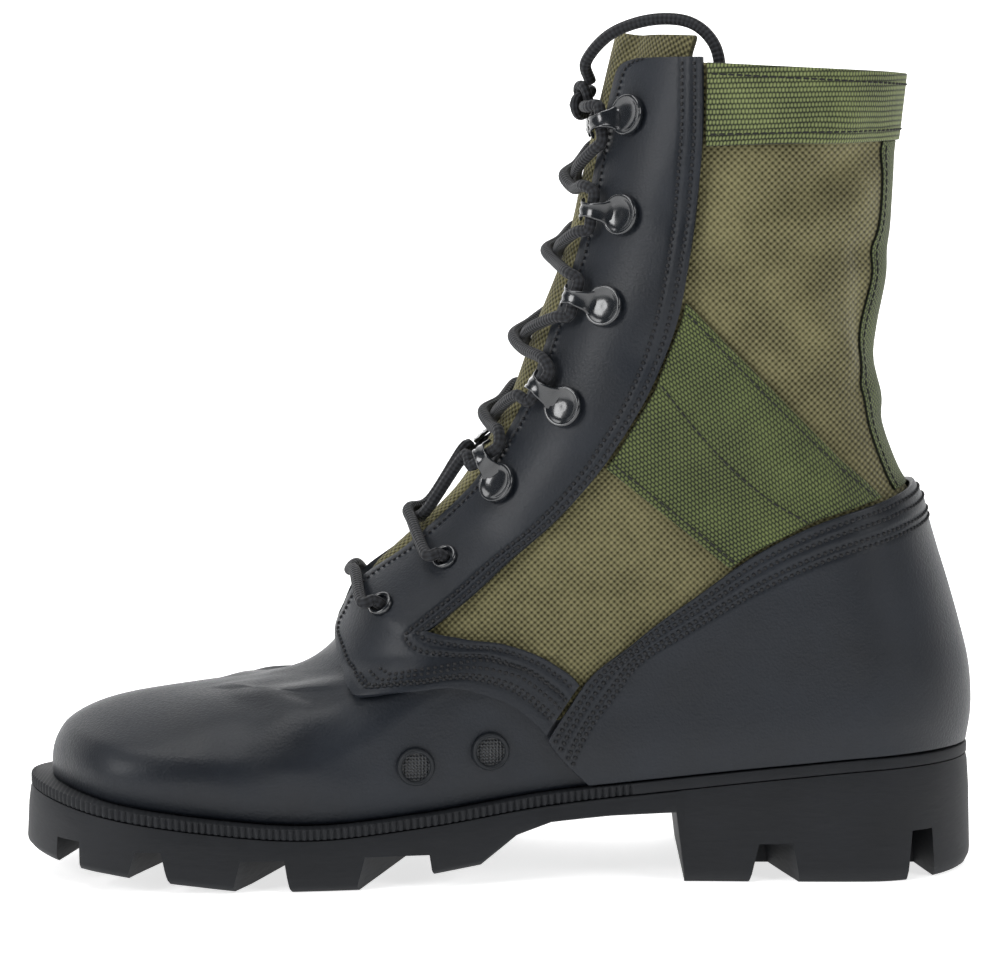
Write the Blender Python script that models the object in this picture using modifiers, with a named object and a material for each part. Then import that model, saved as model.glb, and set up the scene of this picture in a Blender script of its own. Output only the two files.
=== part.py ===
"""A right jungle boot: lugged rubber sole, leather and canvas upper, speed-hook lacing.

The toe points to -X, the inner side of the foot to -Y and up is +Z. The origin is on the
floor, at the middle of the sole's length and width. Lengths are in metres.
"""

import math
from collections import namedtuple

import bmesh
import bpy
import numpy as np
from mathutils import Matrix, Vector

# Driving sizes
SOLE_LENGTH = 0.305
ANKLE_HEIGHT = 0.122
COLLAR_HEIGHT = 0.262
HEEL_HEIGHT = 0.0405
BALL_WIDTH = 0.098
SHAFT_WIDTH = 0.081
UPPER_WALL = 0.0024
FIT_GAP = 0.0003
OVERLAY_GAP = 0.0016
COUNTER_GAP = 0.0014
WEBBING_GAP = 0.0006
BRACE_GAP = 0.0009
TONGUE_GAP = 0.0016
EDGE_GAP = 0.0008
OVERLAY_WALL = 0.0018
WEBBING_WALL = 0.0014
TONGUE_WALL = 0.0024
INSOLE_WALL = 0.003
MIDSOLE_WALL = 0.0036
RIM_AT_HEEL = 0.0035
RIM_AT_TOE = 0.0070
RIB_PITCH = 0.0028
RIB_DEPTH = 0.0008
LACE_RADIUS = 0.0019
LACE_LIFT = 0.0056
LACE_OUT_OF_EYELET = 0.0030
BAR_LEVEL = 8.1
KNOT_LEVEL = 14.52
KNOT_LIFT = 0.0062
KNOT_RADIUS = 0.0033
KNOT_TURN = 20
LOOP_TURN = 110
LOOP_RADIUS = 0.0041
EYELET_BORE = 0.0026
EYELET_BARREL = 0.0006
EYELET_FLANGE = 0.0043
EYELET_LIP = 0.0010
VENT_RADIUS = 0.0061
VENT_BARREL = 0.0042
HOOK_BASE = 0.0064
HOOK_REACH = 0.0148
HOOK_WIDTH = 0.0050
HOOK_RISE = 0.0055
HOOK_PLATE = 0.0012
BAND_WIDTH = 0.0245
BACK_STAY_HALF = 0.0085
BACK_STAY_GAP = 0.06
COUNTER_PEAK = 0.06
COUNTER_FOOT = 0.07
CORNER_RADIUS = 0.0080
TONGUE_OVERLAP = 0.55
TONGUE_BULGE = 0.0026

# Sections run from the feather edge at the sole up to the collar, and one more for the
# tongue's top. x is a share of SOLE_LENGTH measured forward from the back of the heel.
# A height is 0 at the floor, HEEL_UP at HEEL_HEIGHT, 1 at ANKLE_HEIGHT and 2 at
# COLLAR_HEIGHT. sag is how much of the sole's curve the section keeps, and shaft how much
# of its width comes from the shaft.
# shaft_width is a share of SHAFT_WIDTH, and the two rounds are shares of BALL_WIDTH.
Section = namedtuple(
    "Section",
    "back_x back_up front_x front_up sag shaft shaft_width full back_round front_round throat",
)
SECTIONS = [
    Section(0.0115, 0.332, 0.9770, 0.251, 1.00, 0.00, 0.90, 0.950, 0.31, 0.25, 0.075),
    Section(0.0066, 0.426, 0.9760, 0.336, 0.90, 0.00, 0.90, 1.000, 0.33, 0.25, 0.075),
    Section(0.0098, 0.541, 0.9525, 0.418, 0.75, 0.00, 0.90, 1.000, 0.34, 0.25, 0.075),
    Section(0.0213, 0.656, 0.9131, 0.464, 0.60, 0.06, 0.90, 0.995, 0.35, 0.27, 0.075),
    Section(0.0328, 0.754, 0.8279, 0.480, 0.45, 0.15, 0.90, 0.990, 0.36, 0.30, 0.075),
    Section(0.0443, 0.844, 0.7492, 0.496, 0.25, 0.28, 0.90, 0.980, 0.36, 0.33, 0.075),
    Section(0.0541, 0.926, 0.6902, 0.545, 0.10, 0.42, 0.90, 0.975, 0.36, 0.36, 0.075),
    Section(0.0607, 0.984, 0.6639, 0.656, 0.00, 0.60, 0.90, 0.970, 0.34, 0.36, 0.080),
    Section(0.0803, 1.057, 0.6492, 0.746, 0.00, 0.80, 0.88, 0.970, 0.32, 0.38, 0.100),
    Section(0.0984, 1.164, 0.6100, 0.836, 0.00, 1.00, 0.87, 0.980, 0.34, 0.41, 0.130),
    Section(0.1072, 1.271, 0.5416, 1.000, 0.00, 1.00, 0.88, 1.000, 0.37, 0.42, 0.155),
    Section(0.1033, 1.386, 0.4892, 1.186, 0.00, 1.00, 0.91, 1.000, 0.39, 0.43, 0.175),
    Section(0.0934, 1.521, 0.4564, 1.379, 0.00, 1.00, 0.95, 1.000, 0.41, 0.44, 0.185),
    Section(0.0902, 1.664, 0.4252, 1.557, 0.00, 1.00, 0.98, 1.000, 0.42, 0.45, 0.180),
    Section(0.0869, 1.786, 0.4039, 1.757, 0.00, 1.00, 1.00, 1.000, 0.43, 0.45, 0.170),
    Section(0.0787, 1.960, 0.3790, 1.990, 0.00, 1.00, 1.00, 1.000, 0.43, 0.45, 0.160),
    Section(0.0760, 2.020, 0.3720, 2.050, 0.00, 1.00, 1.00, 1.000, 0.43, 0.45, 0.160),
]
HEEL_UP = 0.33196721
THROAT_LEVEL = 7.0
CORNER_LEVELS = 0.30
COLLAR_LEVEL = 15.0
TONGUE_TOP_LEVEL = 16.0
TONGUE_FOOT_LEVEL = 6.4

# The foot seen from above. along is a share of SOLE_LENGTH from the back of the heel,
# widths are shares of BALL_WIDTH on each side of the centre line, and seat is the height
# of the sole's upper face as a share of HEEL_HEIGHT.
Station = namedtuple("Station", "along inner outer centre seat")
STATIONS = [
    Station(0.000, 0.290, 0.290, 0.000, 1.000),
    Station(0.080, 0.345, 0.345, 0.000, 1.000),
    Station(0.200, 0.352, 0.352, 0.000, 0.922),
    Station(0.320, 0.338, 0.365, 0.000, 0.822),
    Station(0.450, 0.348, 0.415, 0.000, 0.712),
    Station(0.580, 0.425, 0.485, 0.000, 0.572),
    Station(0.700, 0.485, 0.515, 0.000, 0.500),
    Station(0.800, 0.490, 0.475, -0.015, 0.562),
    Station(0.880, 0.450, 0.400, -0.040, 0.645),
    Station(0.940, 0.350, 0.300, -0.060, 0.716),
    Station(1.000, 0.230, 0.190, -0.070, 0.780),
]

# The underside along the sole, with the gap between heel and ball. lift is a share of
# HEEL_HEIGHT above the floor.
Tread = namedtuple("Tread", "along lift")
TREADS = [
    Tread(0.000, 0.000),
    Tread(0.307, 0.000),
    Tread(0.316, 0.550),
    Tread(0.385, 0.525),
    Tread(0.448, 0.480),
    Tread(0.485, 0.385),
    Tread(0.523, 0.160),
    Tread(0.575, 0.098),
    Tread(0.648, 0.000),
    Tread(0.759, 0.000),
    Tread(0.828, 0.064),
    Tread(0.900, 0.138),
    Tread(1.000, 0.207),
]

# Channels cut between the lugs, from each edge towards the middle. Widths are shares of
# SOLE_LENGTH, roof a share of HEEL_HEIGHT, and sweep how far the inner end lies forward.
Channel = namedtuple("Channel", "along roof_width floor_width roof sweep")
CHANNELS = [
    Channel(0.958, 0.030, 0.034, 0.375, -0.030),
    Channel(0.866, 0.026, 0.050, 0.330, -0.045),
    Channel(0.750, 0.042, 0.056, 0.255, -0.050),
    Channel(0.617, 0.062, 0.076, 0.265, -0.050),
    Channel(0.196, 0.036, 0.054, 0.310, 0.040),
    Channel(0.042, 0.026, 0.036, 0.400, 0.030),
]
SPINE_HALF = 0.0060
CHANNEL_REACH = 0.080

# Edge lines on the side of the upper, as seen from the side: x and up as in the sections.
# The eyestay's front edge follows the throat down to its foot, then turns back as a wing.
Strip = namedtuple("Strip", "front_level front_x front_up rear_x rear_up")
EYESTAY = [
    Strip(15.00, None, None, 0.291, 1.992),
    Strip(14.90, None, None, 0.291, 1.972),
    Strip(14.70, None, None, 0.291, 1.933),
    Strip(14.00, None, None, 0.293, 1.793),
    Strip(13.00, None, None, 0.302, 1.593),
    Strip(12.00, None, None, 0.318, 1.410),
    Strip(11.00, None, None, 0.345, 1.253),
    Strip(10.00, None, None, 0.384, 1.106),
    Strip(9.00, None, None, 0.438, 0.954),
    Strip(8.00, None, None, 0.500, 0.812),
    Strip(7.30, None, None, 0.549, 0.705),
    Strip(6.85, None, None, 0.571, 0.662),
    Strip(None, 0.6635, 0.584, 0.575, 0.658),
    Strip(None, 0.6580, 0.535, 0.573, 0.656),
    Strip(None, 0.6520, 0.499, 0.567, 0.653),
    Strip(None, 0.6430, 0.487, 0.558, 0.649),
    Strip(None, 0.603, 0.507, 0.536, 0.642),
    Strip(None, 0.551, 0.520, 0.500, 0.631),
    Strip(None, 0.500, 0.484, 0.461, 0.598),
    Strip(None, 0.464, 0.420, 0.431, 0.553),
    Strip(None, 0.453, 0.390, 0.418, 0.520),
]
Edge = namedtuple("Edge", "top_x top_up bottom_x")
COUNTER = [
    Edge(0.451, 0.375, 0.408),
    Edge(0.415, 0.512, 0.382),
    Edge(0.377, 0.600, 0.349),
    Edge(0.314, 0.721, 0.297),
    Edge(0.242, 0.851, 0.231),
    Edge(0.169, 0.943, 0.160),
    Edge(0.102, 0.990, 0.094),
    Edge(0.078, 1.006, 0.040),
]
BRACE_AT_EYESTAY = (1.450, 1.076)
BRACE_AT_COUNTER = (0.106, 0.262)
BRACE_CLEARANCE = 0.0014

# Lacing hardware on each side: place as x and up, and the way the hook points, in degrees
# above the forward direction.
Fastener = namedtuple("Fastener", "x up turn")
HOOKS = [
    Fastener(0.4938, 1.023, 52),
    Fastener(0.4269, 1.207, 34),
    Fastener(0.3856, 1.434, 15),
    Fastener(0.3669, 1.640, 8),
    Fastener(0.3584, 1.860, -5),
]
EYELETS = [Fastener(0.6187, 0.7066, 0), Fastener(0.5525, 0.8303, 0)]
CROSSINGS = [9.45, 10.85, 11.8, 12.9, 13.8]
CROSSING_SLOPE = 0.12
CROSSING_REACH = 0.6
BAR_REACH = 0.8
VENTS = [Fastener(0.5875, 0.316, 0), Fastener(0.5102, 0.349, 0)]

# Faces along each piece
RING_LEVELS = [
    0, 0.5, 1, 1.6, 2.4, 3.4, 4.4, 5.3, 6.2, 7,
    7.6, 8.2, 8.8, 9.4, 10, 10.8, 11.8, 13, 14.2, 14.75, 14.9, 15,
]
COLUMNS_PER_SIDE = 13
COLUMNS_IN_VAMP = 2
SOLE_COLUMNS = 36
LACE_STEP = 0.0080

# The lace's way under a hook in the hook's own axes: ahead, across and out of the leather.
POCKET = [
    (HOOK_REACH + 0.0010, -0.0074, 0.0014),
    (HOOK_REACH - 0.0043, -0.0058, 0.0021),
    (HOOK_REACH - 0.0043, 0.0000, 0.0021),
    (HOOK_REACH - 0.0043, 0.0058, 0.0021),
    (HOOK_REACH + 0.0010, 0.0074, 0.0014),
]

# The lace's end from the knot over the tongue and into the collar: x, y and z.
LOOP = [
    (0.0275, -0.0070, 0.2600),
    (0.0350, -0.0135, 0.2685),
    (0.0470, -0.0190, 0.2728),
    (0.0590, -0.0240, 0.2722),
    (0.0665, -0.0280, 0.2660),
    (0.0690, -0.0300, 0.2560),
    (0.0695, -0.0305, 0.2380),
]


def forward(share):
    """World x of a place along the sole, from 0 at the back of the heel to 1 at the toe."""
    return SOLE_LENGTH * (0.5 - np.asarray(share, float))


def height(up):
    """World z of a section height: 0 floor, HEEL_UP top of the sole's heel, 1 ankle and
    2 collar, with straight runs between them."""
    up = np.asarray(up, float)
    sole = HEEL_HEIGHT * up / HEEL_UP
    foot = HEEL_HEIGHT + (ANKLE_HEIGHT - HEEL_HEIGHT) * (up - HEEL_UP) / (1 - HEEL_UP)
    shaft = ANKLE_HEIGHT + (COLLAR_HEIGHT - ANKLE_HEIGHT) * (up - 1)
    return np.where(up < HEEL_UP, sole, np.where(up < 1, foot, shaft))


def smooth(places, values, at):
    """Cubic curve through the values, with each slope taken from its neighbours."""
    places = np.asarray(places, float)
    values = np.asarray(values, float)
    at = np.clip(np.asarray(at, float), places[0], places[-1])
    slopes = np.gradient(values, places)
    k = np.clip(np.searchsorted(places, at, side="right") - 1, 0, len(places) - 2)
    span = places[k + 1] - places[k]
    s = (at - places[k]) / span
    rise = values[k] * (1 + 2 * s) * (1 - s) ** 2 + values[k + 1] * s * s * (3 - 2 * s)
    return rise + span * (slopes[k] * s * (1 - s) ** 2 - slopes[k + 1] * s * s * (1 - s))


def of_section(column, level):
    """A column of the section table at a level, which is a row number or lies between."""
    values = [getattr(row, column) for row in SECTIONS]
    return smooth(range(len(SECTIONS)), values, level)


def of_station(column, x):
    """A column of the station table at a world x."""
    along = 0.5 - np.asarray(x, float) / SOLE_LENGTH
    return smooth([row.along for row in STATIONS], [getattr(row, column) for row in STATIONS], along)


def seat(x):
    """Height of the sole's upper face, where the upper's feather edge lies."""
    return HEEL_HEIGHT * of_station("seat", x)


def side_view(level, t):
    """x and z of the point a share t of the way from back to front of a section."""
    back_x = forward(of_section("back_x", level))
    front_x = forward(of_section("front_x", level))
    x = back_x + t * (front_x - back_x)
    straight = height(of_section("back_up", level)) * (1 - t)
    straight = straight + height(of_section("front_up", level)) * t
    chord = seat(back_x) * (1 - t) + seat(front_x) * t
    return x, straight + of_section("sag", level) * (seat(x) - chord)


PROFILE_LEVELS = np.linspace(0, TONGUE_TOP_LEVEL, 241)


def profile_distance(x, z, front):
    """Distance from side-view points to the front or the back outline of the boot."""
    outline_x, outline_z = side_view(PROFILE_LEVELS, 1.0 if front else 0.0)
    points = np.stack([x, z], -1)[..., None, :]
    start = np.stack([outline_x[:-1], outline_z[:-1]], -1)
    step = np.stack([np.diff(outline_x), np.diff(outline_z)], -1)
    s = ((points - start) * step).sum(-1) / (step * step).sum(-1)
    nearest = start + np.clip(s, 0, 1)[..., None] * step
    return np.sqrt(((points - nearest) ** 2).sum(-1)).min(-1)


def rounded(distance, radius):
    """Share of the full width near an outline: a quarter circle of the radius, then 1."""
    q = np.clip(distance / radius, 0, 1)
    return np.sqrt(q * (2 - q))


def half_width(level, t, outer):
    """Width of the upper from its centre line, on the outer or the inner side."""
    x, z = side_view(level, t)
    foot = BALL_WIDTH * np.where(outer, of_station("outer", x), of_station("inner", x))
    shaft = SHAFT_WIDTH / 2 * of_section("shaft_width", level)
    share = of_section("shaft", level)
    width = (foot * (1 - share) + shaft * share) * of_section("full", level)
    back = rounded(profile_distance(x, z, False), BALL_WIDTH * of_section("back_round", level))
    front = rounded(profile_distance(x, z, True), BALL_WIDTH * of_section("front_round", level))
    ends = np.clip(t * (1 - t) * 1e5, 0, 1)
    return width * back * front * ends


def skin(level, phi):
    """Point on the upper's outer face. phi is 0 at the back, pi at the front, and runs
    round by the outer side."""
    level, phi = np.broadcast_arrays(np.asarray(level, float), np.asarray(phi, float))
    t = (1 - np.cos(phi)) / 2
    outer = np.sin(phi) >= 0
    x, z = side_view(level, t)
    centre = BALL_WIDTH * of_station("centre", x) * (1 - of_section("shaft", level))
    y = centre + np.where(outer, 1, -1) * half_width(level, t, outer)
    return np.stack([x, y, z], -1)


def skin_normal(level, phi):
    """Outward direction at that point."""
    step = 0.02
    level, phi = np.broadcast_arrays(np.asarray(level, float), np.asarray(phi, float))
    around = skin(level, phi + step) - skin(level, phi - step)
    low, high = np.maximum(level - 5 * step, 0), np.minimum(level + 5 * step, TONGUE_TOP_LEVEL)
    along = skin(high, phi) - skin(low, phi)
    normal = np.cross(around, along)
    return normal / np.linalg.norm(normal, axis=-1, keepdims=True)


def lifted(level, phi, distance):
    """Point a distance outside the upper's outer face."""
    return skin(level, phi) + skin_normal(level, phi) * distance


def locate(x, z):
    """Level and share t of the side-view point x, z, by halving the range of levels."""
    x, z = np.asarray(x, float), np.asarray(z, float)
    low, high = np.zeros_like(x), np.full_like(x, TONGUE_TOP_LEVEL)
    for _ in range(40):
        middle = (low + high) / 2
        back_x = forward(of_section("back_x", middle))
        front_x = forward(of_section("front_x", middle))
        t = np.clip((x - back_x) / (front_x - back_x), 0, 1)
        above = side_view(middle, t)[1] > z
        low, high = np.where(above, low, middle), np.where(above, middle, high)
    return middle, t


def side_phi(x_share, up):
    """Level and phi on the outer side of a place given as x share and up."""
    level, t = locate(forward(x_share), height(up))
    return level, np.arccos(1 - 2 * t)


def phi_at_width(level, width, front):
    """phi on the outer side at which the section is this wide from its centre line,
    counted from the front or from the back."""
    level = np.atleast_1d(np.asarray(level, float))
    phis = np.linspace(0, math.pi, 400)[None, :]
    widths = half_width(level[:, None] + 0 * phis, (1 - np.cos(phis)) / 2 + 0 * level[:, None], True)
    order = slice(None, 150, -1) if front else slice(None, 250)
    found = [np.interp(width_k, row[order], phis[0][order])
             for width_k, row in zip(np.broadcast_to(width, level.shape), widths)]
    return np.array(found)


def throat_phi(level, corner=CORNER_RADIUS):
    """phi of the throat's edge, where the eyestay and the opening begin. Its top corner is
    rounded over the last CORNER_LEVELS of the sections."""
    level = np.atleast_1d(np.asarray(level, float))
    rise = np.clip((level - COLLAR_LEVEL + CORNER_LEVELS) / CORNER_LEVELS, 0, 1)
    width = BALL_WIDTH * of_section("throat", level) + corner * (1 - np.sqrt(1 - rise**2))
    return phi_at_width(level, width, True)


def outline(phi, offset):
    """Plan outline of the sole: the feather edge moved outwards, as x and y."""
    step = 0.01
    ahead, behind = skin(0.0, phi + step), skin(0.0, phi - step)
    along = (ahead - behind)[..., :2]
    out = np.stack([along[..., 1], -along[..., 0]], -1)
    out = out / np.linalg.norm(out, axis=-1, keepdims=True)
    return skin(0.0, phi)[..., :2] + out * np.asarray(offset)[..., None]


def rim_width(phi):
    """How far the sole stands out from the upper: least at the heel, most at the toe."""
    t = (1 - np.cos(phi)) / 2
    return RIM_AT_HEEL + (RIM_AT_TOE - RIM_AT_HEEL) * t**1.5


def link(name, mesh, material, collection="jungle_boot"):
    """An object for a mesh, in the boot's collection or among the cutters."""
    obj = bpy.data.objects.new(name, mesh)
    bpy.data.collections[collection].objects.link(obj)
    if material:
        mesh.materials.append(material)
    return obj


def mesh_of(name, points, faces, weld=1e-6):
    """A mesh from points and faces, with coinciding points made one."""
    bm = bmesh.new()
    verts = [bm.verts.new(p) for p in np.asarray(points).reshape(-1, 3)]
    for face in faces:
        bm.faces.new([verts[k] for k in face])
    bmesh.ops.delete(bm, geom=[v for v in verts if not v.link_faces], context="VERTS")
    bmesh.ops.remove_doubles(bm, verts=bm.verts, dist=weld)
    mesh = bpy.data.meshes.new(name)
    bm.to_mesh(mesh)
    bm.free()
    mesh.shade_smooth()
    return mesh


def grid_faces(rows, columns, skip=lambda row, column: False):
    """Quads of a grid whose columns run round the boot and whose rows go up."""
    return [
        (r * columns + c, r * columns + c + 1, (r + 1) * columns + c + 1, (r + 1) * columns + c)
        for r in range(rows - 1)
        for c in range(columns - 1)
        if not skip(r, c)
    ]


def shell(name, points, material, wall, outwards, skip=lambda row, column: False):
    """A grid of points made into a wall by Solidify, to one side of the grid."""
    rows, columns = points.shape[:2]
    obj = link(name, mesh_of(name, points, grid_faces(rows, columns, skip)), material)
    wall_maker = obj.modifiers.new("wall", "SOLIDIFY")
    wall_maker.thickness = wall
    wall_maker.offset = 1 if outwards else -1
    wall_maker.use_even_offset = True
    wall_maker.use_quality_normals = True
    return obj


def slab(name, rings, material):
    """A closed solid lofted through rings from bottom to top. Its two end faces are
    strips across from each point to the one opposite."""
    rows, count = len(rings), len(rings[0])
    faces = []
    for r in range(rows - 1):
        for c in range(count):
            d = (c + 1) % count
            faces.append((r * count + c, r * count + d, (r + 1) * count + d, (r + 1) * count + c))
    last = (rows - 1) * count
    for c in range(count // 2):
        a, b = c, c + 1
        opposite_a, opposite_b = (count - a) % count, (count - b) % count
        top = [a, b, opposite_b, opposite_a]
        face = [k for i, k in enumerate(top) if k not in top[:i]]
        faces.append([last + k for k in face])
        faces.append(face[::-1])
    return link(name, mesh_of(name, np.concatenate(rings), faces), material)


def cylinder_between(start, end, radius, segments=12):
    """A bmesh cylinder from one point to another."""
    bm = bmesh.new()
    axis = Vector(end) - Vector(start)
    turn = axis.to_track_quat("Z", "Y").to_matrix().to_4x4()
    place = Matrix.Translation((Vector(start) + Vector(end)) / 2) @ turn
    bmesh.ops.create_cone(bm, cap_ends=True, segments=segments, radius1=radius,
                          radius2=radius, depth=axis.length, matrix=place)
    return bm


def cutter(name, parts):
    """One hidden object from several bmesh shapes that don't touch each other."""
    whole = bmesh.new()
    for part in parts:
        mesh = bpy.data.meshes.new("part")
        part.to_mesh(mesh)
        part.free()
        whole.from_mesh(mesh)
        bpy.data.meshes.remove(mesh)
    mesh = bpy.data.meshes.new(name)
    whole.to_mesh(mesh)
    whole.free()
    obj = link(name, mesh, None, "cutters")
    obj.hide_render = True
    obj.display_type = "WIRE"
    return obj


def cut(obj, tool):
    """Takes the cutter out of an object."""
    boolean = obj.modifiers.new("cut", "BOOLEAN")
    boolean.operation = "DIFFERENCE"
    boolean.object = tool


def finish(name, colour, roughness, metallic=0.0):
    """A plain material for a sub-part."""
    material = bpy.data.materials.new(name)
    material.use_nodes = True
    surface = material.node_tree.nodes["Principled BSDF"]
    surface.inputs["Base Color"].default_value = (*colour, 1)
    surface.inputs["Roughness"].default_value = roughness
    surface.inputs["Metallic"].default_value = metallic
    return material


def ring_phis(count, extra=()):
    """Angles round the sole, equal on both sides, with extra ones where a step lies."""
    side = np.linspace(0, math.pi, count + 1)
    side = np.unique(np.concatenate([side, np.asarray(extra, float)]))
    return np.concatenate([side, 2 * math.pi - side[-2:0:-1]])


def sole_phi(share):
    """Angle at which the feather edge lies a share of the way along the sole."""
    back, front = SECTIONS[0].back_x, SECTIONS[0].front_x
    return math.acos(1 - 2 * (share - back) / (front - back))


def make_outsole(rubber):
    """The lugged rubber bottom, with its heel, arch, toe spring and side steps."""
    steps = [sole_phi(row.along) for row in TREADS[1:-1]]
    phis = ring_phis(SOLE_COLUMNS, steps)
    rim = rim_width(phis)
    rings = []
    for offset, share in ((-0.0006, 0.0), (0.0014, 0.10), (0.0010, 0.55), (0.0, 1.0)):
        plan = outline(phis, rim + offset)
        top = seat(plan[:, 0]) - 2 * FIT_GAP - MIDSOLE_WALL
        along = [row.along for row in TREADS]
        lift = [row.lift for row in TREADS]
        centre_x = skin(0.0, phis)[:, 0]
        bottom = HEEL_HEIGHT * np.interp(0.5 - centre_x / SOLE_LENGTH, along, lift)
        rings.append(np.column_stack([plan, bottom + (top - bottom) * share]))
    outsole = slab("outsole", rings, rubber)
    parts = []
    for channel in CHANNELS:
        for side in (-1, 1):
            parts.append(channel_cutter(channel, side))
    cut(outsole, cutter("tread_channels", parts))
    return outsole


def channel_cutter(channel, side):
    """A tapering bar, wider at the floor, that leaves the spine of the sole whole."""
    x = float(forward(channel.along))
    roof = HEEL_HEIGHT * channel.roof
    below = -0.004
    flare = (roof - below) / roof
    half_roof = SOLE_LENGTH * channel.roof_width / 2
    half_floor = half_roof + (SOLE_LENGTH * channel.floor_width / 2 - half_roof) * flare
    bm = bmesh.new()
    sections = []
    for y, sweep in ((SPINE_HALF, channel.sweep), (CHANNEL_REACH, -channel.sweep * 0.4)):
        middle = x - SOLE_LENGTH * sweep
        narrow = 0.55 if y == SPINE_HALF else 1.0
        outline_xz = (
            (middle - half_floor * narrow, below),
            (middle + half_floor * narrow, below),
            (middle + half_roof * narrow, roof),
            (middle - half_roof * narrow, roof),
        )
        sections.append([bm.verts.new((px, side * y, pz)) for px, pz in outline_xz])
    near, far = sections
    for k in range(4):
        bm.faces.new([near[k], near[(k + 1) % 4], far[(k + 1) % 4], far[k]])
    bm.faces.new(near[::-1])
    bm.faces.new(far)
    bmesh.ops.recalc_face_normals(bm, faces=bm.faces)
    return bm


def make_midsole(rubber):
    """The layer on top of the outsole, ribbed round the forefoot and plain at the heel."""
    fine = np.linspace(0, math.pi, 2000)
    plan = outline(fine, rim_width(fine))
    run = np.concatenate([[0], np.cumsum(np.linalg.norm(np.diff(plan, axis=0), axis=1))])
    start = float(np.interp(sole_phi(0.36), fine, run))
    ribs = int((run[-1] - start) / RIB_PITCH)
    plain = np.linspace(0, start, 24, endpoint=False)
    ribbed = np.linspace(start, run[-1], 2 * ribs + 1)
    side = np.interp(np.concatenate([plain, ribbed]), run, fine)
    depth = np.zeros(len(side))
    depth[len(plain) + 1::2] = RIB_DEPTH
    phis = np.concatenate([side, 2 * math.pi - side[-2:0:-1]])
    depth = np.concatenate([depth, depth[-2:0:-1]])
    plan = outline(phis, rim_width(phis) - depth)
    rings = []
    for drop in (FIT_GAP + MIDSOLE_WALL, FIT_GAP):
        rings.append(np.column_stack([plan, seat(plan[:, 0]) - drop]))
    return slab("midsole", rings, rubber)


def make_insole(board):
    """The thin board inside, on the sole's upper face."""
    phis = ring_phis(22)
    plan = outline(phis, np.full(len(phis), -UPPER_WALL - 0.0018))
    rings = [np.column_stack([plan, seat(plan[:, 0]) + lift]) for lift in (0.0, INSOLE_WALL)]
    return slab("insole", rings, board)


def upper_grid():
    """Levels and angles of the upper's grid, from the inner front round to the outer front.
    Columns keep to the throat's edge, so that the opening follows it."""
    levels = np.array(RING_LEVELS, float)
    edge = throat_phi(levels)[:, None]
    side = edge * np.linspace(0, 1, COLUMNS_PER_SIDE + 1)[None, :]
    vamp = edge + (math.pi - edge) * np.linspace(0, 1, COLUMNS_IN_VAMP + 1)[None, 1:]
    outer = np.concatenate([side, vamp], axis=1)
    phis = np.concatenate([-outer[:, :0:-1], outer], axis=1)
    return np.broadcast_to(levels[:, None], phis.shape), phis


def make_upper(canvas):
    """The hollow upper: one wall, open at the collar, the throat and the bottom."""
    levels, phis = upper_grid()
    columns = phis.shape[1]

    def in_throat(row, column):
        near_front = column < COLUMNS_IN_VAMP or column >= columns - 1 - COLUMNS_IN_VAMP
        return RING_LEVELS[row] >= THROAT_LEVEL and near_front

    return shell("upper", skin(levels, phis), canvas, UPPER_WALL, False, in_throat)


def collections():
    """Empty collections for the boot and for its cutters, after clearing the scene."""
    for obj in list(bpy.data.objects):
        bpy.data.objects.remove(obj)
    for name in ("jungle_boot", "cutters"):
        bpy.context.scene.collection.children.link(bpy.data.collections.new(name))


def placed(places, gap):
    """A grid of levels and angles as points outside the upper, wound to face outwards."""
    lift = gap(places[..., 0], places[..., 1]) if callable(gap) else gap
    points = lifted(places[..., 0], places[..., 1], np.asarray(lift)[..., None])
    r, c = places.shape[0] // 2 - 1, places.shape[1] // 2
    normal = np.cross(points[r, c + 1] - points[r, c], points[r + 1, c] - points[r, c])
    outward = skin_normal(places[r, c, 0], places[r, c, 1])
    return points if normal @ outward > 0 else points[:, ::-1]


def lines_grid(first, last, rows, steps=2, gap=OVERLAY_GAP):
    """Points just outside the upper between two edge lines of levels and angles."""
    count = len(first)
    fine = np.linspace(0, count - 1, (count - 1) * steps + 1)
    a = np.stack([smooth(range(count), column, fine) for column in np.transpose(first)], -1)
    b = np.stack([smooth(range(count), column, fine) for column in np.transpose(last)], -1)
    share = np.linspace(0, 1, rows)[:, None, None]
    return placed(a[None] * (1 - share) + b[None] * share, gap)


def on_side(line, outer):
    """An edge line for the outer side, or mirrored to the inner side."""
    line = np.array(line, float)
    return line if outer else line * (1, -1)


def make_eyestay(name, leather, outer):
    """The leather strip along the throat that carries the lacing, with its wing."""
    front, rear = [], []
    for row in EYESTAY:
        rear.append(side_phi(row.rear_x, row.rear_up))
        if row.front_level is None:
            front.append(side_phi(row.front_x, row.front_up))
        else:
            front.append((row.front_level, throat_phi(row.front_level)[0]))
    points = lines_grid(on_side(front, outer), on_side(rear, outer), 4)
    return shell(name, points, leather, OVERLAY_WALL, True)


def counter_top(outer):
    """The counter's upper edge line on one side, without its middle at the back."""
    line = [side_phi(row.top_x, row.top_up) for row in COUNTER]
    return on_side(line, outer)


def counter_back_level():
    """The level at which the counter's upper edge crosses the middle of the back."""
    line = counter_top(True)
    return line[-1][0] + COUNTER_PEAK


def make_counter(leather):
    """The leather round the heel, from the sole up to a sloping edge."""
    sides = []
    for outer in (False, True):
        top = counter_top(outer)
        foot = on_side([(COUNTER_FOOT, sole_phi(row.bottom_x)) for row in COUNTER], outer)
        sides.append((top, foot))
    back = [(counter_back_level(), 0.0)]
    tops = np.concatenate([sides[0][0], back, sides[1][0][::-1]])
    feet = np.concatenate([sides[0][1], [(COUNTER_FOOT, 0.0)], sides[1][1][::-1]])
    return shell("counter", lines_grid(feet, tops, 7, gap=COUNTER_GAP), leather, OVERLAY_WALL, True)


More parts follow.
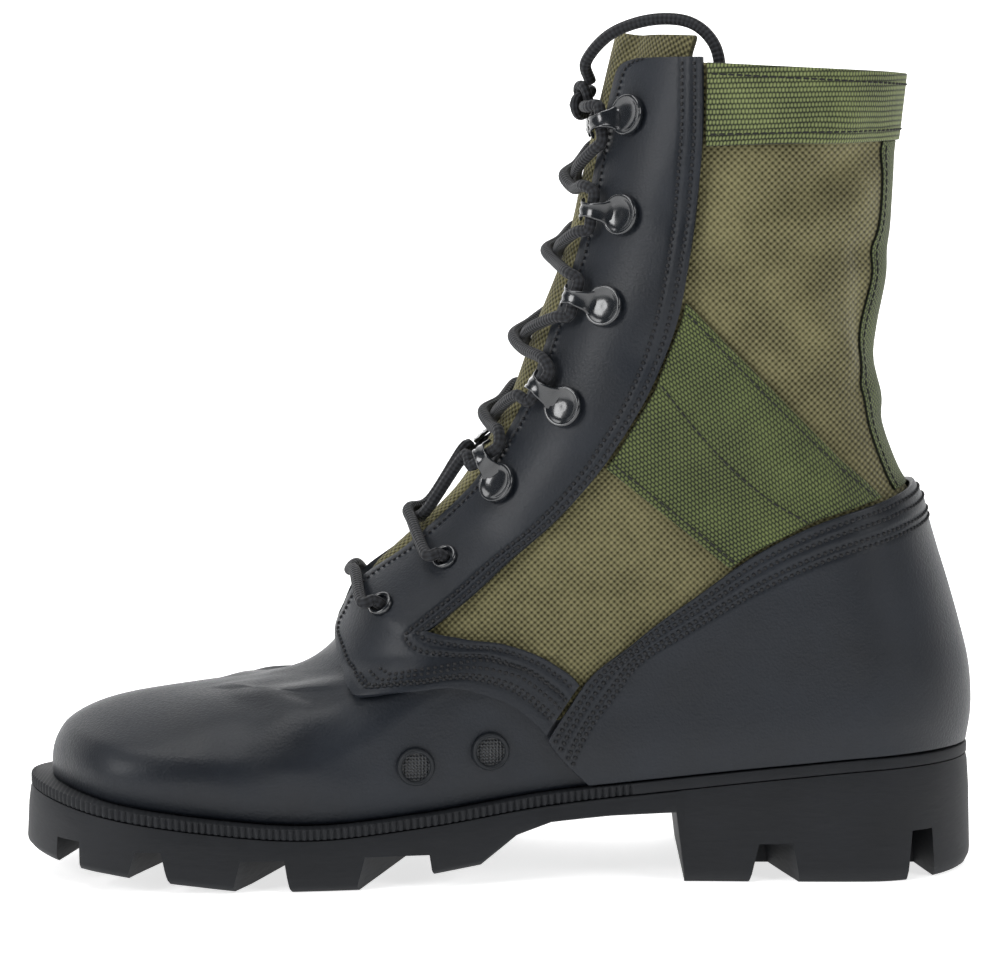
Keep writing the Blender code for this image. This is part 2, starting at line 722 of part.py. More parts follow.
def make_collar_band(webbing):
    """The webbing round the collar, from one eyestay to the other by the back."""
    top = skin(COLLAR_LEVEL, math.pi / 2)[2]
    shaft_levels = np.linspace(COLLAR_LEVEL - 2.5, COLLAR_LEVEL, 60)
    heights = skin(shaft_levels, math.pi / 2)[:, 2]
    low = float(np.interp(top - BAND_WIDTH, heights, shaft_levels))
    rear = [side_phi(row.rear_x, row.rear_up) for row in EYESTAY[4::-1]]
    edges = []
    for level in (low, COLLAR_LEVEL):
        end = float(np.interp(level, [place[0] for place in rear], [place[1] for place in rear]))
        turns = np.linspace(-1, 1, 13) * (end - 2 * EDGE_GAP / SHAFT_WIDTH)
        edges.append(np.column_stack([np.full(13, level), turns]))
    lower_edge, upper_edge = edges
    points = lines_grid(lower_edge, upper_edge, 3, gap=WEBBING_GAP)
    shell("collar_band", points, webbing, WEBBING_WALL, True)
    return low


def make_ankle_brace(name, webbing, outer):
    """The webbing across the ankle, from the eyestay's rear edge to the counter's top."""
    share = BRACE_CLEARANCE / SOLE_LENGTH
    rear = sorted((row.rear_up, row.rear_x) for row in EYESTAY[:11])
    ups = np.linspace(*BRACE_AT_EYESTAY, 7)
    start_x = np.interp(ups, [up for up, _ in rear], [x for _, x in rear]) - share
    top = sorted((row.top_x, row.top_up) for row in COUNTER)
    end_x = np.linspace(*BRACE_AT_COUNTER, 7)
    end_up = np.interp(end_x, [x for x, _ in top], [up for _, up in top])
    end_up = end_up + BRACE_CLEARANCE / ANKLE_HEIGHT
    start = np.stack([forward(start_x), height(ups)], -1)
    end = np.stack([forward(end_x), height(end_up)], -1)
    share = np.linspace(0, 1, 7)[:, None, None]
    plan = start * (1 - share) + end * share
    level, t = locate(plan[..., 0], plan[..., 1])
    places = np.stack([level, np.arccos(1 - 2 * t)], -1)
    return shell(name, placed(on_side(places, outer), BRACE_GAP), webbing, WEBBING_WALL, True)


def make_back_stay(webbing, band_level):
    """The narrow webbing down the back seam, from the collar band to the counter."""
    levels = np.linspace(counter_back_level() + BACK_STAY_GAP, band_level - BACK_STAY_GAP, 7)
    edge = phi_at_width(levels, BACK_STAY_HALF, False)
    left, right = np.column_stack([levels, -edge]), np.column_stack([levels, edge])
    points = lines_grid(left, right, 4, gap=WEBBING_GAP)
    return shell("back_stay", points, webbing, WEBBING_WALL, True)


def tongue_lift(level, phi):
    """How far the tongue's outer face lies from the upper's: under its wall at the sides,
    and bulging forwards between the eyestays."""
    level, phi = np.broadcast_arrays(np.asarray(level, float), np.asarray(phi, float))
    levels = np.linspace(TONGUE_FOOT_LEVEL, TONGUE_TOP_LEVEL, 40)
    half = np.interp(level, levels, math.pi - throat_phi(levels, 0))
    across = (phi - math.pi) / half / 0.85
    rise = np.clip((level - THROAT_LEVEL - 0.2) / 1.5, 0, 1)
    bulge = TONGUE_BULGE * rise * np.clip(1 - across**2, 0, 1) ** 1.5
    return bulge - UPPER_WALL - TONGUE_GAP


def make_tongue(canvas):
    """The tongue behind the throat, reaching a little above the collar."""
    levels = np.linspace(TONGUE_FOOT_LEVEL, TONGUE_TOP_LEVEL, 13)
    half = (math.pi - throat_phi(levels, 0)) * (1 + TONGUE_OVERLAP)
    left = np.column_stack([levels, math.pi - half])
    right = np.column_stack([levels, math.pi + half])
    points = lines_grid(left, right, 9, steps=1, gap=tongue_lift)
    return shell("tongue", points, canvas, TONGUE_WALL, False)


def fastener_place(fastener, outer, lift):
    """Matrix of a fastener: local Z out of the leather, local X the way that it points."""
    level, phi = on_side([side_phi(fastener.x, fastener.up)], outer)[0]
    normal = Vector(skin_normal(level, phi))
    turn = math.radians(fastener.turn)
    ahead = Vector((-math.cos(turn), 0, math.sin(turn)))
    ahead = (ahead - normal * ahead.dot(normal)).normalized()
    across = normal.cross(ahead)
    place = Matrix((ahead, across, normal)).transposed().to_4x4()
    return Matrix.Translation(Vector(lifted(level, phi, lift))) @ place


def turned(name, profile, segments, closed):
    """A mesh turned about Z from a profile of radius and height, which runs down its outer
    side. A closed profile makes a ring, an open one starts and ends on the axis."""
    mesh = bpy.data.meshes.new(name)
    count = len(profile)
    edges = [(k, (k + 1) % count) for k in range(count if closed else count - 1)]
    mesh.from_pydata([(radius, 0, z) for radius, z in profile], edges, [])
    obj = link(name, mesh, None, "cutters")
    screw = obj.modifiers.new("turn", "SCREW")
    screw.steps = segments
    screw.render_steps = segments
    screw.use_merge_vertices = True
    screw.merge_threshold = 1e-6
    bm = solid_of(obj)
    bm.to_mesh(mesh)
    bm.free()
    return mesh


def eyelet_mesh():
    """A rolled eyelet: a round flange on a barrel through the leather."""
    barrel = EYELET_BORE + EYELET_BARREL
    depth = -OVERLAY_WALL - UPPER_WALL
    profile = [
        (EYELET_BORE, EYELET_LIP * 0.5),
        (barrel + 0.0004, EYELET_LIP),
        (EYELET_FLANGE - 0.0004, EYELET_LIP * 0.7),
        (EYELET_FLANGE, 0.0),
        (barrel, 0.0),
        (barrel, depth),
        (EYELET_BORE, depth),
    ]
    return turned("eyelet", profile, 10, True)


def vent_mesh():
    """A screened vent: a dished disc with a rolled rim on a short spigot."""
    profile = [
        (0.0, 0.0004),
        (VENT_BARREL, 0.0004),
        (VENT_RADIUS - 0.0013, 0.0010),
        (VENT_RADIUS - 0.0004, 0.0009),
        (VENT_RADIUS, 0.0),
        (VENT_BARREL, 0.0),
        (VENT_BARREL, -UPPER_WALL),
        (0.0, -UPPER_WALL),
    ]
    return turned("vent", profile, 12, False)


def hook_mesh():
    """A speed hook: a round dished base, and a neck that rises, runs forward and turns
    down at its tip, so that the lace passes beneath it."""
    base = bmesh.new()
    bmesh.ops.create_cone(base, cap_ends=True, segments=16, radius1=HOOK_BASE,
                          radius2=HOOK_BASE - 0.0006, depth=HOOK_PLATE,
                          matrix=Matrix.Translation((0, 0, HOOK_PLATE / 2)))
    rise, reach, plate = HOOK_RISE, HOOK_REACH, HOOK_PLATE
    side = [
        (HOOK_BASE * 0.45, plate * 0.4), (HOOK_BASE * 0.95, plate * 0.4),
        (HOOK_BASE + 0.0012, rise - plate), (reach - plate, rise - plate),
        (reach - plate, 0.0010), (reach, 0.0010), (reach, rise - 0.0006),
        (reach - 0.0006, rise), (HOOK_BASE, rise), (HOOK_BASE * 0.45, plate * 1.2),
    ]
    neck = bmesh.new()
    walls = [[neck.verts.new((x, y, z)) for x, z in side]
             for y in (-HOOK_WIDTH / 2, HOOK_WIDTH / 2)]
    for k in range(len(side)):
        d = (k + 1) % len(side)
        neck.faces.new((walls[0][k], walls[0][d], walls[1][d], walls[1][k]))
    neck.faces.new(walls[0][::-1])
    neck.faces.new(walls[1])
    bmesh.ops.recalc_face_normals(neck, faces=neck.faces)
    return joined("hook", [base, neck])


def place_fasteners(metal, screen):
    """Hooks and eyelets on both sides, and the vents on the inner side of the foot."""
    hook, eyelet, vent = hook_mesh(), eyelet_mesh(), vent_mesh()
    hook.materials.append(metal)
    eyelet.materials.append(metal)
    vent.materials.append(screen)
    surface = OVERLAY_GAP + OVERLAY_WALL
    for outer, side in ((False, "inner"), (True, "outer")):
        for number, row in enumerate(HOOKS, 1):
            obj = link(f"hook_{side}_{number}", hook, None)
            obj.matrix_world = fastener_place(row, outer, surface + 2 * FIT_GAP)
        for number, row in enumerate(EYELETS, 1):
            obj = link(f"eyelet_{side}_{number}", eyelet, None)
            obj.matrix_world = fastener_place(row, outer, surface + FIT_GAP)
    for number, row in enumerate(VENTS, 1):
        obj = link(f"vent_{number}", vent, None)
        obj.matrix_world = fastener_place(row, False, 2 * FIT_GAP)


def hole_cutter(name, rows, sides, radius, depth):
    """Round bars through the leather at a row of fasteners."""
    bars = []
    for row in rows:
        for outer in sides:
            place = fastener_place(row, outer, 0)
            ends = place @ Vector((0, 0, -depth)), place @ Vector((0, 0, depth))
            bars.append(cylinder_between(*ends, radius))
    return cutter(name, bars)


def cord(name, points, radius, material=None, collection="jungle_boot"):
    """A round cord through its points, as a curve with filled ends."""
    curve = bpy.data.curves.new(name, "CURVE")
    curve.dimensions = "3D"
    curve.bevel_depth = radius
    curve.bevel_resolution = 2
    curve.use_fill_caps = True
    line = curve.splines.new("POLY")
    line.points.add(len(points) - 1)
    for spot, point in zip(line.points, points):
        spot.co = (*point, 1)
    return link(name, curve, material, collection)


def solid_of(obj):
    """A closed bmesh of a cord, whose curve object is then removed."""
    bpy.context.view_layer.update()
    graph = bpy.context.evaluated_depsgraph_get()
    mesh = bpy.data.meshes.new_from_object(obj.evaluated_get(graph))
    bm = bmesh.new()
    bm.from_mesh(mesh)
    bmesh.ops.remove_doubles(bm, verts=bm.verts, dist=1e-6)
    bpy.data.objects.remove(obj)
    return bm


def route(points, spacing):
    """Evenly spaced points on a smooth curve through a cord's own points."""
    points = np.array(points, float)
    fine = np.linspace(0, len(points) - 1, 40 * len(points))
    line = np.stack([smooth(range(len(points)), column, fine) for column in points.T], -1)
    run = np.concatenate([[0], np.cumsum(np.linalg.norm(np.diff(line, axis=0), axis=1))])
    count = max(3, int(run[-1] / spacing) + 1)
    at = np.linspace(0, run[-1], count)
    return np.stack([np.interp(at, run, column) for column in line.T], -1)


def joined(name, shapes):
    """One mesh from overlapping bmesh shapes."""
    pieces = [cutter(f"{name}_{k}", [shape]) for k, shape in enumerate(shapes)]
    for piece in pieces[1:]:
        union = pieces[0].modifiers.new("join", "BOOLEAN")
        union.operation = "UNION"
        union.object = piece
    bpy.context.view_layer.update()
    graph = bpy.context.evaluated_depsgraph_get()
    mesh = bpy.data.meshes.new_from_object(pieces[0].evaluated_get(graph))
    for piece in pieces:
        bpy.data.objects.remove(piece)
    mesh.name = name
    return mesh


def pocket(row, outer):
    """Points where the lace passes under a hook, from below its tip to above it."""
    place = fastener_place(row, outer, OVERLAY_GAP + OVERLAY_WALL + 2 * FIT_GAP)
    up = 1 if outer else -1
    return [np.array(place @ Vector((ahead, up * across, lift))) for ahead, across, lift in POCKET]


def front_point(level, outer, share):
    """A point over the throat: share 0 is the middle of the front, 1 the throat's edge."""
    phi = math.pi - (math.pi - throat_phi(level)[0]) * share
    return lifted(level, phi if outer else -phi, LACE_LIFT)


def knot_axes(turn):
    """The knot's centre, the way out of the tongue, and a direction along the tongue
    turned by so many degrees from the outer side towards the top."""
    centre = Vector(lifted(KNOT_LEVEL, math.pi, KNOT_LIFT))
    normal = Vector(skin_normal(KNOT_LEVEL, math.pi))
    across = Vector((0, 1, 0))
    up = across.cross(normal)
    along = across * math.cos(math.radians(turn)) + up * math.sin(math.radians(turn))
    return centre, normal, along.normalized()


def beside_knot(turn, radius, way):
    """Where a lace's end meets the side of the knot."""
    centre, _, along = knot_axes(turn)
    return np.array(centre + along * way * (radius + LACE_RADIUS + 2 * FIT_GAP))


def strand(outer_first):
    """One lace from its eyelet up to the knot, under a hook on each side in turn."""
    outer = outer_first
    start = fastener_place(EYELETS[1], not outer, OVERLAY_GAP + OVERLAY_WALL + FIT_GAP)
    points = [
        np.array(start @ Vector((0.0000, 0, LACE_OUT_OF_EYELET))),
        np.array(start @ Vector((0.0044, 0, LACE_OUT_OF_EYELET + 0.0012))),
    ]
    for level, row in zip(CROSSINGS, HOOKS):
        points.append(front_point(level - CROSSING_SLOPE, not outer, CROSSING_REACH))
        points.append(front_point(level, outer, 0.0))
        points.append(front_point(level + CROSSING_SLOPE, outer, CROSSING_REACH))
        points.extend(pocket(row, outer))
        outer = not outer
    points.append(beside_knot(KNOT_TURN, KNOT_RADIUS, 1 if not outer else -1))
    return points


def lower_bar():
    """The lace between the two lowest eyelets, over the foot of the throat."""
    points = []
    for outer in (False, True):
        start = fastener_place(EYELETS[0], outer, OVERLAY_GAP + OVERLAY_WALL + 2 * FIT_GAP)
        side = [
            np.array(start @ Vector((0.0000, 0, LACE_OUT_OF_EYELET))),
            np.array(start @ Vector((0.0044, 0, LACE_OUT_OF_EYELET + 0.0012))),
            front_point(BAR_LEVEL, outer, BAR_REACH),
        ]
        points.append(side)
    return [*points[0], front_point(BAR_LEVEL, True, 0.0), *points[1][::-1]]


def make_lace(cotton):
    """The crossings over the tongue, joined into one solid, and the lower bar."""
    shapes = []
    for outer in (False, True):
        line = cord("strand", route(strand(outer), LACE_STEP), LACE_RADIUS, None, "cutters")
        shapes.append(solid_of(line))
    cord("lace_bar", route(lower_bar(), LACE_STEP), LACE_RADIUS, cotton)
    return link("lace", joined("lace", shapes), cotton)


def make_knot(cotton):
    """The knot over the top of the tongue: two half rings of cord across each other."""
    centre, normal, _ = knot_axes(KNOT_TURN)
    shapes = []
    for turn, radius in ((KNOT_TURN, KNOT_RADIUS), (LOOP_TURN, LOOP_RADIUS)):
        along = knot_axes(turn)[2]
        arc = [centre + (along * math.cos(a) + normal * math.sin(a)) * radius
               for a in np.linspace(-0.1, math.pi + 0.1, 8)]
        shapes.append(solid_of(cord("turn", arc, LACE_RADIUS, None, "cutters")))
    return link("lace_knot", joined("lace_knot", shapes), cotton)


def make_loop(cotton):
    """The lace's end, over the top of the tongue and down inside the collar."""
    points = [beside_knot(LOOP_TURN, LOOP_RADIUS, 1), *LOOP]
    return cord("lace_loop", route(points, LACE_STEP), LACE_RADIUS, cotton)


def main():
    """Builds every sub-part."""
    collections()
    rubber = finish("rubber", (0.012, 0.012, 0.013), 0.75)
    leather = finish("leather", (0.016, 0.017, 0.021), 0.5)
    canvas = finish("canvas", (0.115, 0.105, 0.060), 0.9)
    webbing = finish("webbing", (0.085, 0.095, 0.050), 0.85)
    metal = finish("black_metal", (0.015, 0.015, 0.016), 0.3, 0.8)
    cotton = finish("lace_cord", (0.012, 0.012, 0.013), 0.85)
    board = finish("insole_board", (0.060, 0.058, 0.050), 0.9)

    make_outsole(rubber)
    make_midsole(rubber)
    make_insole(board)
    upper = make_upper(canvas)
    make_tongue(canvas)
    eyestays = [make_eyestay("eyestay_inner", leather, False), make_eyestay("eyestay_outer", leather, True)]
    make_counter(leather)
    band_level = make_collar_band(webbing)
    make_back_stay(webbing, band_level)
    make_ankle_brace("ankle_brace_inner", webbing, False)
    make_ankle_brace("ankle_brace_outer", webbing, True)
    eyelet_holes = hole_cutter("eyelet_holes", EYELETS, (False, True),
                               EYELET_BORE + EYELET_BARREL + FIT_GAP, 0.008)
    cut(upper, eyelet_holes)
    cut(upper, hole_cutter("vent_holes", VENTS, (False,), VENT_BARREL + FIT_GAP, 0.008))
    for eyestay in eyestays:
        cut(eyestay, eyelet_holes)
    place_fasteners(metal, metal)
    make_lace(cotton)
    make_knot(cotton)
    make_loop(cotton)


main()
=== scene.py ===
# %% [markdown]
# # A jungle boot, dressed
# The imported model gives the boot's pieces as plain solids in metres: the toe points to -X, the
# inner side of the foot faces -Y and up is +Z. This script lays finer surfaces over them, worked
# out from the same few sizes, and gives each its leather, canvas, webbing, rubber or metal.
# The first step loads the model and bakes each part's placement into its points.


# %% the imported model
import math
from collections import namedtuple

import bmesh
import bpy
import numpy as np
from mathutils import Matrix, Vector


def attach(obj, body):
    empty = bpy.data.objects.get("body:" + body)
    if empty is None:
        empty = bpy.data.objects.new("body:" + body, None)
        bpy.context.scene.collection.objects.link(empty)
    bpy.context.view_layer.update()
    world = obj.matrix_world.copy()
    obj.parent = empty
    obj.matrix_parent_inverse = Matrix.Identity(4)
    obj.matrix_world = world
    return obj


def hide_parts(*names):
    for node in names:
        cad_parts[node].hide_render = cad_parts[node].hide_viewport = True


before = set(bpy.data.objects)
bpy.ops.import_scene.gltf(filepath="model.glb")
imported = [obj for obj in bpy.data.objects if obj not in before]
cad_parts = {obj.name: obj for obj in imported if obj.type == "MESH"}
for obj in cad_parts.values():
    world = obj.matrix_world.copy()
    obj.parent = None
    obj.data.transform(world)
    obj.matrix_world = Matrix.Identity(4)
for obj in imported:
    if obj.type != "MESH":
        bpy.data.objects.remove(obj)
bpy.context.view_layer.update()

MM = 0.001
TWO_PI = 2 * math.pi


def linked(name, data):
    """An object of that name, in the scene."""
    obj = bpy.data.objects.new(name, data)
    bpy.context.scene.collection.objects.link(obj)
    return obj


def dress(piece, slot, *nodes):
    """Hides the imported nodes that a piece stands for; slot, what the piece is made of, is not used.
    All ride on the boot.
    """
    if nodes:
        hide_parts(*nodes)
    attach(piece, "root")


# %% [markdown]
# ## Camera
# The photograph looks at the inner side from a little above. Its perspective fits a camera 1.15 m
# from the boot's middle plane and 0.25 m above the floor, looking down by about 6 degrees.


# %% camera
EYE = Vector((0.0, -1.15, 0.25))
LOOK_DOWN = math.radians(6.19)
SENSOR = 36.0
FOCAL_PIXELS = 3560.0
PHOTO_WIDTH = 1000.0

camera_data = bpy.data.cameras.new("camera")
camera_data.sensor_width = SENSOR
camera_data.lens = SENSOR * FOCAL_PIXELS / PHOTO_WIDTH
camera = linked("camera", camera_data)
camera.location = EYE
camera.rotation_euler = (math.pi / 2 - LOOK_DOWN, 0.0, 0.0)
bpy.context.scene.camera = camera
print("camera:", round(camera_data.lens), "mm lens, looking down", round(math.degrees(LOOK_DOWN), 1))


# %% [markdown]
# ## Light and floor
# A pale floor meets a pale backdrop behind the boot, both a little self-lit so that they stay
# plain. A wide soft light hangs above, and one on each side of the camera brings out the
# leather's sheen.


# %% light and floor
FLOOR_HALF = 6.0
BACKDROP_Y = 1.6
BACKDROP_TOP = 4.0
BACKDROP_FOOT = -0.01
SURROUND = 0.06
LIGHTS = {
    # name: (place, aimed at, width, height, watts)
    "overhead": ((-0.30, -0.25, 1.40), (0.0, 0.0, 0.12), 1.0, 0.8, 9.5),
    "left": ((-1.30, -0.95, 0.75), (-0.05, 0.0, 0.10), 0.6, 0.8, 12.0),
    "right": ((1.25, -0.90, 0.85), (0.05, 0.0, 0.12), 0.6, 0.8, 7.0),
}


def area_light(name, place, target, width, height, watts):
    """A rectangular soft light at a place, facing a target."""
    data = bpy.data.lights.new(name, "AREA")
    data.shape = "RECTANGLE"
    data.size = width
    data.size_y = height
    data.energy = watts
    light = linked(name, data)
    light.location = place
    aim = Vector(target) - Vector(place)
    light.rotation_euler = aim.to_track_quat("-Z", "Y").to_euler()


def studio_sheet(name, first, second):
    """A flat sheet of the studio between two edges, each given as y and z."""
    mesh = bpy.data.meshes.new(name)
    corners = [(-FLOOR_HALF, *first), (FLOOR_HALF, *first),
               (FLOOR_HALF, *second), (-FLOOR_HALF, *second)]
    mesh.from_pydata(corners, [], [(0, 1, 2, 3)])
    sheet = linked(name, mesh)
    return sheet


for name, setting in LIGHTS.items():
    area_light(name, *setting)

world = bpy.data.worlds.new("surround")
world.use_nodes = True
world.node_tree.nodes["Background"].inputs["Color"].default_value = (1.0, 1.0, 1.0, 1.0)
world.node_tree.nodes["Background"].inputs["Strength"].default_value = SURROUND
bpy.context.scene.world = world
bpy.context.scene.view_settings.view_transform = "Standard"

floor = studio_sheet("floor", (-FLOOR_HALF, 0), (FLOOR_HALF, 0))
backdrop = studio_sheet("backdrop", (BACKDROP_Y, BACKDROP_FOOT), (BACKDROP_Y, BACKDROP_TOP))
print("lights:", ", ".join(LIGHTS))


# %% [markdown]
# ## Sizes
# A few measured sizes drive the boot, and the tables below are shares of them. Walls, clearances
# and fittings have sizes of their own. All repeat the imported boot's, so the dressed one keeps to it.


# %% sizes
# the driving sizes, in metres
SOLE_LENGTH = 0.305
ANKLE_HEIGHT = 0.122
COLLAR_HEIGHT = 0.262
HEEL_HEIGHT = 0.0405
BALL_WIDTH = 0.098
SHAFT_WIDTH = 0.081
# clearances between the layers, and their walls
FIT_GAP = 0.0003
OVERLAY_GAP = 0.0016
COUNTER_GAP = 0.0014
WEBBING_GAP = 0.0006
BRACE_GAP = 0.0009
TONGUE_GAP = 0.0016
EDGE_GAP = 0.0008
UPPER_WALL = 0.0024
OVERLAY_WALL = 0.0018
WEBBING_WALL = 0.0014
TONGUE_WALL = 0.0024
INSOLE_WALL = 0.003
MIDSOLE_WALL = 0.0036
# the sole's rim, and the ribs round its edge
RIM_AT_HEEL = 0.0035
RIM_AT_TOE = 0.0070
RIB_PITCH = 0.0022
RIB_DEPTH = 0.0008
# the lace and its knot. Levels are rows of the section table, turns are degrees.
LACE_RADIUS = 0.0019
LACE_LIFT = 0.0056
LACE_OUT_OF_EYELET = 0.0030
BAR_LEVEL = 8.1
KNOT_LEVEL = 14.52
KNOT_LIFT = 0.0062
KNOT_RADIUS = 0.0033
KNOT_TURN = 20
LOOP_TURN = 110
LOOP_RADIUS = 0.0041
# eyelets, vents and hooks
EYELET_BORE = 0.0026
EYELET_BARREL = 0.0006
EYELET_FLANGE = 0.0043
VENT_RADIUS = 0.0061
HOOK_REACH = 0.0148
HOOK_PLATE = 0.0012
# webbing, counter and tongue. The back stay's gap, the counter's peak and foot are in levels.
BAND_WIDTH = 0.0245
BACK_STAY_HALF = 0.0185
BACK_STAY_GAP = 0.06
COUNTER_PEAK = 0.06
COUNTER_FOOT = 0.07
CORNER_RADIUS = 0.0080
TONGUE_OVERLAP = 0.55
TONGUE_BULGE = 0.0058
print("sole", round(SOLE_LENGTH / MM), "mm long, collar", round(COLLAR_HEIGHT / MM), "mm high")


# %% [markdown]
# ## The last's sections
# A shoe's upper is shaped on a last. Here it is a family of sections that fan from the feather
# edge, flat on the sole, to the level collar. Each row gives the back and front end of a section
# in the side view, and a second table gives the foot's width along the sole.


# %% sections of the upper
# Sections run from the feather edge at the sole up to the collar, and one more for the
# tongue's top. x is a share of SOLE_LENGTH measured forward from the back of the heel.
# A height is 0 at the floor, HEEL_UP at HEEL_HEIGHT, 1 at ANKLE_HEIGHT and 2 at
# COLLAR_HEIGHT. sag is how much of the sole's curve the section keeps, and shaft how much
# of its width comes from the shaft.
# shaft_width is a share of SHAFT_WIDTH, and the two rounds are shares of BALL_WIDTH.
Section = namedtuple(
    "Section",
    "back_x back_up front_x front_up sag shaft shaft_width full back_round front_round throat",
)
SECTIONS = [
    Section(0.0115, 0.332, 0.9770, 0.251, 1.00, 0.00, 0.90, 0.950, 0.31, 0.25, 0.075),
    Section(0.0066, 0.426, 0.9760, 0.336, 0.90, 0.00, 0.90, 1.000, 0.33, 0.25, 0.075),
    Section(0.0098, 0.541, 0.9525, 0.418, 0.75, 0.00, 0.90, 1.000, 0.34, 0.25, 0.075),
    Section(0.0213, 0.656, 0.9131, 0.464, 0.60, 0.06, 0.90, 0.995, 0.35, 0.27, 0.075),
    Section(0.0328, 0.754, 0.8279, 0.480, 0.45, 0.15, 0.90, 0.990, 0.36, 0.30, 0.075),
    Section(0.0443, 0.844, 0.7492, 0.496, 0.25, 0.28, 0.90, 0.980, 0.36, 0.33, 0.075),
    Section(0.0541, 0.926, 0.6902, 0.545, 0.10, 0.42, 0.90, 0.975, 0.36, 0.36, 0.075),
    Section(0.0607, 0.984, 0.6639, 0.656, 0.00, 0.60, 0.90, 0.970, 0.34, 0.36, 0.080),
    Section(0.0803, 1.057, 0.6492, 0.746, 0.00, 0.80, 0.88, 0.970, 0.32, 0.38, 0.100),
    Section(0.0984, 1.164, 0.6100, 0.836, 0.00, 1.00, 0.87, 0.980, 0.34, 0.41, 0.130),
    Section(0.1072, 1.271, 0.5416, 1.000, 0.00, 1.00, 0.88, 1.000, 0.37, 0.42, 0.155),
    Section(0.1033, 1.386, 0.4892, 1.186, 0.00, 1.00, 0.91, 1.000, 0.39, 0.43, 0.175),
    Section(0.0934, 1.521, 0.4564, 1.379, 0.00, 1.00, 0.95, 1.000, 0.41, 0.44, 0.185),
    Section(0.0902, 1.664, 0.4252, 1.557, 0.00, 1.00, 0.98, 1.000, 0.42, 0.45, 0.180),
    Section(0.0869, 1.786, 0.4039, 1.757, 0.00, 1.00, 1.00, 1.000, 0.43, 0.45, 0.170),
    Section(0.0787, 1.960, 0.3790, 1.990, 0.00, 1.00, 1.00, 1.000, 0.43, 0.45, 0.160),
    Section(0.0760, 2.020, 0.3720, 2.050, 0.00, 1.00, 1.00, 1.000, 0.43, 0.45, 0.160),
]
HEEL_UP = 0.33196721
THROAT_LEVEL = 7.0
CORNER_LEVELS = 0.30
COLLAR_LEVEL = 15.0
TONGUE_TOP_LEVEL = 16.0
TONGUE_FOOT_LEVEL = 6.4
print("sections:", len(SECTIONS))


# %% plan of the foot and underside of the sole
# The foot seen from above. along is a share of SOLE_LENGTH from the back of the heel,
# widths are shares of BALL_WIDTH on each side of the centre line, and seat is the height
# of the sole's upper face as a share of HEEL_HEIGHT.
Station = namedtuple("Station", "along inner outer centre seat")
STATIONS = [
    Station(0.000, 0.290, 0.290, 0.000, 1.000),
    Station(0.080, 0.345, 0.345, 0.000, 1.000),
    Station(0.200, 0.352, 0.352, 0.000, 0.922),
    Station(0.320, 0.338, 0.365, 0.000, 0.822),
    Station(0.450, 0.348, 0.415, 0.000, 0.712),
    Station(0.580, 0.425, 0.485, 0.000, 0.572),
    Station(0.700, 0.485, 0.515, 0.000, 0.500),
    Station(0.800, 0.490, 0.475, -0.015, 0.562),
    Station(0.880, 0.450, 0.400, -0.040, 0.645),
    Station(0.940, 0.350, 0.300, -0.060, 0.716),
    Station(1.000, 0.230, 0.190, -0.070, 0.780),
]
# The underside along the sole, with the gap between heel and ball. lift is a share of
# HEEL_HEIGHT above the floor.
Tread = namedtuple("Tread", "along lift")
TREADS = [
    Tread(0.000, 0.000),
    Tread(0.307, 0.000),
    Tread(0.316, 0.550),
    Tread(0.385, 0.525),
    Tread(0.448, 0.480),
    Tread(0.485, 0.385),
    Tread(0.523, 0.160),
    Tread(0.575, 0.098),
    Tread(0.648, 0.000),
    Tread(0.759, 0.000),
    Tread(0.828, 0.064),
    Tread(0.900, 0.138),
    Tread(1.000, 0.207),
]
# Channels cut between the lugs, from each edge towards the middle. Widths are shares of
# SOLE_LENGTH, roof a share of HEEL_HEIGHT, and sweep how far the inner end lies forward.
Channel = namedtuple("Channel", "along roof_width floor_width roof sweep")
CHANNELS = [
    Channel(0.958, 0.030, 0.034, 0.375, -0.030),
    Channel(0.866, 0.026, 0.050, 0.330, -0.045),
    Channel(0.750, 0.042, 0.056, 0.255, -0.050),
    Channel(0.617, 0.062, 0.076, 0.265, -0.050),
    Channel(0.196, 0.036, 0.054, 0.310, 0.040),
    Channel(0.042, 0.026, 0.036, 0.400, 0.030),
]
SPINE_HALF = 0.0060
CHANNEL_REACH = 0.080
print("stations:", len(STATIONS), "channels on each side:", len(CHANNELS))


# %% edge lines of the leather and webbing
# Edge lines on the side of the upper, as seen from the side: x and up as in the sections.
# The eyestay's front edge follows the throat down to its foot, then turns back as a wing.
Strip = namedtuple("Strip", "front_level front_x front_up rear_x rear_up")
EYESTAY = [
    Strip(15.00, None, None, 0.291, 1.992),
    Strip(14.90, None, None, 0.291, 1.972),
    Strip(14.70, None, None, 0.291, 1.933),
    Strip(14.00, None, None, 0.293, 1.793),
    Strip(13.00, None, None, 0.302, 1.593),
    Strip(12.00, None, None, 0.318, 1.410),
    Strip(11.00, None, None, 0.345, 1.253),
    Strip(10.00, None, None, 0.384, 1.106),
    Strip(9.00, None, None, 0.438, 0.954),
    Strip(8.00, None, None, 0.500, 0.812),
    Strip(7.30, None, None, 0.549, 0.705),
    Strip(6.85, None, None, 0.571, 0.662),
    Strip(None, 0.6635, 0.584, 0.575, 0.658),
    Strip(None, 0.6580, 0.535, 0.573, 0.656),
    Strip(None, 0.6520, 0.499, 0.567, 0.653),
    Strip(None, 0.6430, 0.487, 0.558, 0.649),
    Strip(None, 0.603, 0.507, 0.536, 0.642),
    Strip(None, 0.551, 0.520, 0.500, 0.631),
    Strip(None, 0.500, 0.484, 0.461, 0.598),
    Strip(None, 0.464, 0.420, 0.431, 0.553),
    Strip(None, 0.453, 0.390, 0.418, 0.520),
]
Edge = namedtuple("Edge", "top_x top_up bottom_x")
